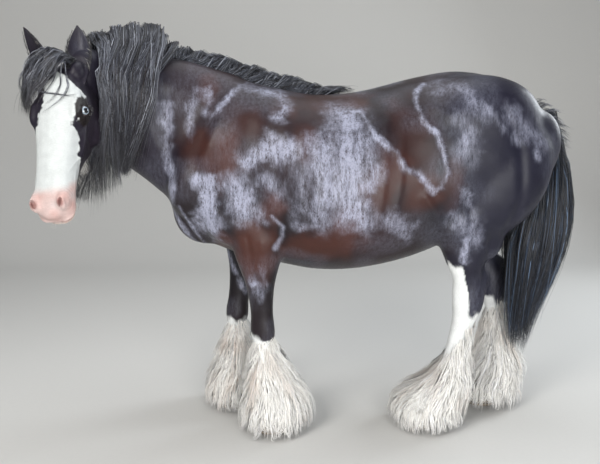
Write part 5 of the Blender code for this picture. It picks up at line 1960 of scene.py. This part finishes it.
def coat_skin():
    """Short glossy summer coat over skin: hairs about 15 mm long, lying flat, drawn 1.6 mm wide to show."""
    material, tree, shader = new_material("short_glossy_hair")
    where, grain = hair_bump(tree, shader, 0.0016, 0.014, 0.30, 0.0012)
    # The base colour carries the painted sheen of the coat.
    base = sheen_painted_tint(tree, where)
    dapple = node(tree, "ShaderNodeTexNoise", [("Vector", where, "Object")], Scale=28.0, Detail=4.0)
    darker = node(tree, "ShaderNodeMapRange", [("Value", grain, "Fac")], To_Min=0.74, To_Max=1.24)
    uneven = node(tree, "ShaderNodeMapRange", [("Value", dapple, "Fac")], To_Min=0.82, To_Max=1.16)
    both = [(0, darker, "Result"), (1, uneven, "Result")]
    shade = node(tree, "ShaderNodeMath", both, operation="MULTIPLY")
    colour = node(tree, "ShaderNodeVectorMath", [("Scale", shade, "Value")], operation="SCALE")
    tree.links.new(base, colour.inputs[0])
    tree.links.new(colour.outputs["Vector"], shader.inputs["Base Color"])
    rough = node(tree, "ShaderNodeMapRange", [("Value", dapple, "Fac")], To_Min=0.34, To_Max=0.50)
    tree.links.new(rough.outputs["Result"], shader.inputs["Roughness"])
    set_shader(shader, Sheen_Weight=0.02, Sheen_Roughness=0.4, Specular_IOR_Level=0.26)
    return material


def coat_tufts():
    """The tips of the same short coat: as the coat under them, without its bump."""
    material, tree, shader = new_material("short_hair_tips")
    where = node(tree, "ShaderNodeTexCoord")
    # The tips carry the same painted sheen in their base colour.
    tree.links.new(sheen_painted_tint(tree, where), shader.inputs["Base Color"])
    set_shader(shader, Roughness=0.44, Specular_IOR_Level=0.22)
    return material


def streaked_tint(tree, shader, scale, low, high):
    """The tint of each point as the base colour, made lighter and darker by fine streaks."""
    tint = node(tree, "ShaderNodeVertexColor", layer_name="tint")
    where = node(tree, "ShaderNodeTexCoord")
    streak = node(tree, "ShaderNodeTexNoise", [("Vector", where, "Object")], Scale=scale, Detail=2.0)
    value = node(tree, "ShaderNodeMapRange", [("Value", streak, "Fac")], To_Min=low, To_Max=high)
    both = [(0, tint, "Color"), ("Scale", value, "Result")]
    colour = node(tree, "ShaderNodeVectorMath", both, operation="SCALE")
    tree.links.new(colour.outputs["Vector"], shader.inputs["Base Color"])


def strand_hair(name, rough, sheen):
    """Strands of hair, coloured one by one, with a slight streak along them about 6 mm long."""
    material, tree, shader = new_material(name)
    streaked_tint(tree, shader, 180.0, 0.78, 1.22)
    set_shader(shader, Roughness=rough, Sheen_Weight=sheen)
    return material


def wet_eye():
    """The wet clear cornea over the iris: a smooth clear coat over the painted ball."""
    material, tree, shader = new_material("wet_eye")
    streaked_tint(tree, shader, 900.0, 0.88, 1.12)
    set_shader(shader, Roughness=0.22, Coat_Weight=1.0, Coat_Roughness=0.03, Specular_IOR_Level=0.5)
    return material


def hoof_horn():
    """Hoof horn: dull, with growth rings round it about 6 mm apart and fine upright grain."""
    material, tree, shader = new_material("hoof_horn")
    where = node(tree, "ShaderNodeTexCoord")
    rings = node(tree, "ShaderNodeTexWave", [("Vector", where, "Object")], bands_direction="Z", Scale=26.0,
                 Distortion=1.5, Detail=2.0)
    squeeze = node(tree, "ShaderNodeMapping", [("Vector", where, "Object")], Scale=(420.0, 420.0, 40.0))
    grain = node(tree, "ShaderNodeTexNoise", [("Vector", squeeze, "Vector")], Scale=1.0, Detail=3.0)
    mix = node(tree, "ShaderNodeMath", [(0, rings, "Fac"), (1, grain, "Fac")], operation="MULTIPLY")
    ramp = node(tree, "ShaderNodeValToRGB", [("Fac", mix, "Value")])
    ramp.color_ramp.elements[0].color = (*HORN_DARK, 1)
    ramp.color_ramp.elements[1].color = (*HORN_PALE, 1)
    tree.links.new(ramp.outputs["Color"], shader.inputs["Base Color"])
    bump = node(tree, "ShaderNodeBump", [("Height", mix, "Value")], Strength=0.4, Distance=0.001)
    tree.links.new(bump.outputs["Normal"], shader.inputs["Normal"])
    set_shader(shader, Roughness=0.48)
    return material


def studio_paper():
    """A sweep of matt white paper, with a faint cloudiness from its fibres."""
    material, tree, shader = new_material("studio_paper")
    where = node(tree, "ShaderNodeTexCoord")
    fibre = node(tree, "ShaderNodeTexNoise", [("Vector", where, "Object")], Scale=60.0, Detail=3.0)
    value = node(tree, "ShaderNodeMapRange", [("Value", fibre, "Fac")], To_Min=0.98, To_Max=1.02)
    colour = node(tree, "ShaderNodeVectorMath", [("Scale", value, "Result")], operation="SCALE")
    colour.inputs[0].default_value = tuple(linear("#d9d8d4"))
    tree.links.new(colour.outputs["Vector"], shader.inputs["Base Color"])
    set_shader(shader, Roughness=0.9)
    return material


# The studio.


def floor():
    """A pale floor that curves up behind the horse."""
    bm = bmesh.new()
    profile = [(-6.0, 0.0), (3.2, 0.0)]
    for k in range(1, 13):
        angle = math.pi / 2 * k / 12
        profile.append((3.2 + 1.6 * math.sin(angle), 1.6 - 1.6 * math.cos(angle)))
    profile.append((4.8, 6.0))
    rows = [[bm.verts.new((x, y, z)) for y, z in profile] for x in (-7.0, 7.0)]
    for i in range(len(profile) - 1):
        bm.faces.new((rows[0][i], rows[1][i], rows[1][i + 1], rows[0][i + 1]))
    obj = object_from_bmesh("studio_floor", bm)
    obj.data.materials.append(studio_paper())
    obj.data.shade_smooth()


def area_light(name, place, aim, size, power, colour=(1, 1, 1)):
    """A round soft light that faces its aim."""
    light = bpy.data.lights.new(name, "AREA")
    light.shape = "DISK"
    light.size = size
    light.energy = power
    light.color = colour
    obj = new_object(name, light)
    obj.location = place
    obj.rotation_euler = (Vector(aim) - Vector(place)).to_track_quat("-Z", "Y").to_euler()
    return obj


def lights():
    """A key light, a top light, a window behind and a low light in front, in a pale room."""
    area_light("key", (-2.6, -3.6, 3.4), (0.0, 0.0, 0.8), 2.2, 150, (1.0, 0.98, 0.95))
    area_light("top", (0.2, 0.2, 4.2), (0.0, 0.0, 0.8), 3.0, 56, (0.93, 0.96, 1.0))
    area_light("window", (3.6, 1.8, 2.4), (0.2, 0.0, 1.0), 1.8, 75, (0.90, 0.95, 1.0))
    area_light("front", (0.9, -4.2, 0.9), (0.1, 0.0, 0.2), 2.4, 150)
    world = bpy.data.worlds.new("studio")
    world.use_nodes = True
    world.node_tree.nodes["Background"].inputs["Color"].default_value = (*linear("#c9ccd2"), 1)
    world.node_tree.nodes["Background"].inputs["Strength"].default_value = 0.30
    bpy.context.scene.world = world
    bpy.context.scene.view_settings.view_transform = "Standard"


# Where the photograph was taken from, in the horse's own frame, and the lens of a 36 mm wide frame.
CAMERA_AT = (-0.3447, -2.8982, 1.265)
CAMERA_TURN = (81.0, 0.0, -2.0)
CAMERA_LENS = 42.0


def camera(shift):
    """The photographer's place and view."""
    lens = bpy.data.cameras.new("camera")
    lens.sensor_width = 36.0
    lens.lens = CAMERA_LENS
    obj = new_object("camera", lens)
    obj.location = Vector(CAMERA_AT) + shift
    obj.rotation_euler = [math.radians(angle) for angle in CAMERA_TURN]
    bpy.context.scene.camera = obj


def set_over():
    """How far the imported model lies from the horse's own frame, read from its near fore hoof."""
    low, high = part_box("hoof_fore_left")
    forward, left = JOINTS["fore", "left"][3]
    return Vector((low[0] + forward + 0.088, (low[1] + high[1]) / 2 + left, 0.0))


# The pieces.


def settle(obj, shift, material, slot, *nodes):
    """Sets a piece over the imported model, with its finish, the solids that it stands for and its body."""
    obj.data.transform(Matrix.Translation(shift))
    obj.data.materials.clear()
    obj.data.materials.append(material)
    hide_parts(*nodes)
    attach(obj, "root")


def hair_arrays(guides, colour, rng, chart, per, wide, deep, width, clear=None, steps=LONG_POINTS, **ways):
    """What strand_mesh needs for long hair on its guides, outside the surface clear if there is one."""
    paths, outs = grow(*guide_arrays(guides, steps), per, wide, deep, rng, **ways)
    if clear is not None:
        paths = lifted(paths, clear, HAIR_GAP)
    paths[..., 2] = np.maximum(paths[..., 2], FLOOR_GAP)
    colours = colour(paths, rng)
    widths = tapered(len(paths), steps, width, rng)
    return paths, widths, outs, colours, chart.at(paths[:, 0], outs[:, 0])


def black_hair(paths, rng, pale=1.0):
    """Blue-black hair, streaked with browner strands and with bluer and greyer strands of painted sheen,
    more of those where it is paler.
    """
    count, steps = paths.shape[:2]
    colour = np.tile(linear("#15161b"), (count, 1))
    for other, share, strength in (
        # The bluer and greyer strands are painted sheen on the black hair.
        ("#2a211f", 0.14, 0.8), ("#373a45", 0.46 * pale, 0.9), ("#62666f", 0.27 * pale, 0.9),
        ("#999da7", 0.10 * pale, 0.9),
    ):
        colour = mixed(colour, linear(other), (rng.random(count) < share) * strength)
    return shaded(with_painted_sheen(colour), steps, rng, 0.25, linear("#33292a"), 0.5)


# How much of the red, green and blue of the mane's colours the tail keeps: its bluer cast is painted sheen.
TAIL_BLUE_SHEEN = (0.60, 0.88, 1.20)


def tail_hair(paths, rng):
    """The darker blue-black hair of the tail, with fewer strands of painted sheen and a bluer cast of
    painted sheen.
    """
    made = black_hair(paths, rng, 0.30)
    made[..., :3] *= TAIL_BLUE_SHEEN
    return made


def feather_hair(paths, rng):
    """Cream-white hair with warm stains in cloudy patches, and grey tips near the ground."""
    count, steps = paths.shape[:2]
    colour = np.tile(linear("#fbf9f3"), (count, 1))
    middle = paths[:, steps // 2]
    warm = np.clip(cloud(middle, 0.075, 9) * 2.2 - 1.25, 0, 1) + 0.08 * rng.random(count)
    colour = mixed(colour, STAIN, np.clip(warm, 0, 1) * 0.45)
    colour = mixed(colour, linear("#c9c8cb"), (rng.random(count) < 0.10) * 0.6)
    made = shaded(with_painted_sheen(colour), steps, rng, 0.07)
    low = 1 - soft_step(0.01, 0.08, paths[..., 2] + 0.05 * (cloud(middle, 0.05, 10) - 0.5)[:, None])
    share = (low * np.linspace(0.3, 1, steps)[None, :] * rng.uniform(0.2, 1.0, (count, 1)))[..., None]
    made[..., :3] = made[..., :3] * (1 - 0.65 * share) + GREY_TIP * 0.65 * share
    return made


# Tufts of the short coat on the body and on the face: how many, their length, width and rise in metres.
BODY_TUFTS = (28000, 0.017, 0.0019, 0.0020)
FACE_TUFTS = (20000, 0.006, 0.0010, 0.0008)


def coats(skin, chart, rng):
    """The short coat of the body and of the face."""
    finish = coat_tufts()

    def is_body(places):
        return (places[:, 2] > 0.30) & ~is_head(places)

    body = short_coat("coat_body", skin, chart, rng, is_body, *BODY_TUFTS)
    face = short_coat("coat_face", skin, chart, rng, is_head, *FACE_TUFTS)
    return [(body, finish, "coat", ["torso"]), (face, finish, "coat", ["head"])]


# The long hair, piece by piece: strands to a guide, how far they spread across and outwards and the width of
# one in metres, then how they wave, stray and draw together.
LONG_HAIR = {
    "mane_far": dict(per=27, wide=0.024, deep=0.014, width=0.0025, wave=0.009, stray=0.10),
    "mane_near": dict(per=32, wide=0.018, deep=0.014, width=0.0023, wave=0.008, stray=0.10, clump=0.62),
    "mane_throat": dict(per=20, wide=0.018, deep=0.014, width=0.0021, wave=0.010, stray=0.12),
    "forelock": dict(per=22, wide=0.016, deep=0.008, width=0.0018, wave=0.006, stray=0.15),
    "forelock_strands": dict(per=12, wide=0.0030, deep=0.002, width=0.0009, wave=0.002, clump=0.3),
    "tail_inner": dict(per=30, wide=0.024, deep=0.016, width=0.0026),
    "tail_outer": dict(per=30, wide=0.024, deep=0.016, width=0.0026),
    "dock_fringe": dict(per=8, wide=0.014, deep=0.008, width=0.0016),
}
FEATHER_LOCKS = dict(per=7, wide=0.014, deep=0.008, width=0.0040, clump=0.50, wave=0.005, stray=0.10)
FEATHER_TUFTS = dict(per=7, wide=0.014, deep=0.006, width=0.0022, clump=0.60, wave=0.005, stray=0.14)
# How far the shading of long hair and of feather follows the form that it lies on.
LONG_HAIR_SUNK = 0.35
FEATHER_SUNK = 0.75


def long_hairs(surface, chart, rng):
    """The mane, the forelock, the tail in two halves and the single hairs of the face."""
    # Clean horsehair, washed and combed, shows as smooth strands with a soft gloss.
    finish = strand_hair("mane_hair", 0.36, 0.1)
    made = []

    def add(name, guides, node_name, colour=black_hair, clear=None):
        strands = hair_arrays(guides, colour, rng, chart, clear=clear, **LONG_HAIR[name])
        made.append((strand_mesh(name, *strands, LONG_HAIR_SUNK), finish, "hair", [node_name]))

    add("mane_far", far_mane_guides(rng, surface, 130), "neck", clear=surface)
    near = bundle_guides(rng, surface, 84, LOCK_FRONT, LOCK_REAR, (1.002, 0.800), 0.106, 0.03)
    add("mane_near", near, "neck", clear=surface)
    throat = bundle_guides(rng, surface, 50, THROAT_FRONT, THROAT_REAR, (1.010, 0.985), 0.030, 0.09)
    add("mane_throat", throat, "neck", clear=surface)
    add("forelock", forelock_guides(rng, surface, 44), "head", clear=surface)
    add("forelock_strands", crossing_guides(rng, surface), "head")
    add("tail_inner", tail_guides(rng, 78), "tail", tail_hair)
    add("tail_outer", tail_guides(rng, 78), "tail", tail_hair)
    add("dock_fringe", dock_fringe_guides(rng, surface, 60), "tail")
    made.append((face_hairs(surface, chart, rng), finish, "hair", ["head"]))
    return made


def feathers(chart, rng):
    """The long white hair of the lower legs: for each, broad locks below with finer tufts over them."""
    # Clean brushed feather hair is dull and soft, and shows its lie more than its gloss.
    finish = strand_hair("feather_hair", 0.70, 0.30)
    made = []
    for kind, side in LEGS:
        layers = []
        for guides, ways in ((feather_guides, FEATHER_LOCKS), (feather_tuft_guides, FEATHER_TUFTS)):
            grown = guides(kind, side, rng, 300)
            layers.append(hair_arrays(grown, feather_hair, rng, chart, steps=FEATHER_POINTS, **ways))
        both = [np.concatenate(arrays) for arrays in zip(*layers)]
        obj = strand_mesh("feather_%s_%s" % (kind, side), *both, FEATHER_SUNK)
        made.append((obj, finish, "feather", ["lower_%sleg_%s" % (kind, side)]))
    return made


def main():
    shift = set_over()
    skin = whole_skin()
    surface = tree_of([skin])
    chart = Unwrap(skin.data)
    chart.put_on(skin.data)
    write_tint(skin.data, markings_and_painted_sheen(places_of(skin.data)))
    rng = np.random.default_rng(SEED)
    pieces = coats(skin, chart, rng) + long_hairs(surface, chart, rng) + feathers(chart, rng)
    eye = wet_eye()
    pieces += [(eye_ball(side), eye, "eye", ["eye_" + side]) for side in SIDES]
    flesh = ["torso", "neck", "head", "ear_left", "ear_right", "tail"]
    flesh += ["%sleg_%s" % (part + kind, side) for part in ("", "lower_") for kind, side in LEGS]
    pieces.append((skin, coat_skin(), "coat", flesh))
    for obj, material, slot, nodes in pieces:
        settle(obj, shift, material, slot, *nodes)
    horn = hoof_horn()
    for kind, side in LEGS:
        for slot in frame["nodes"]["hoof_%s_%s" % (kind, side)].material_slots:
            slot.material = horn
    floor()
    lights()
    camera(shift)


main()
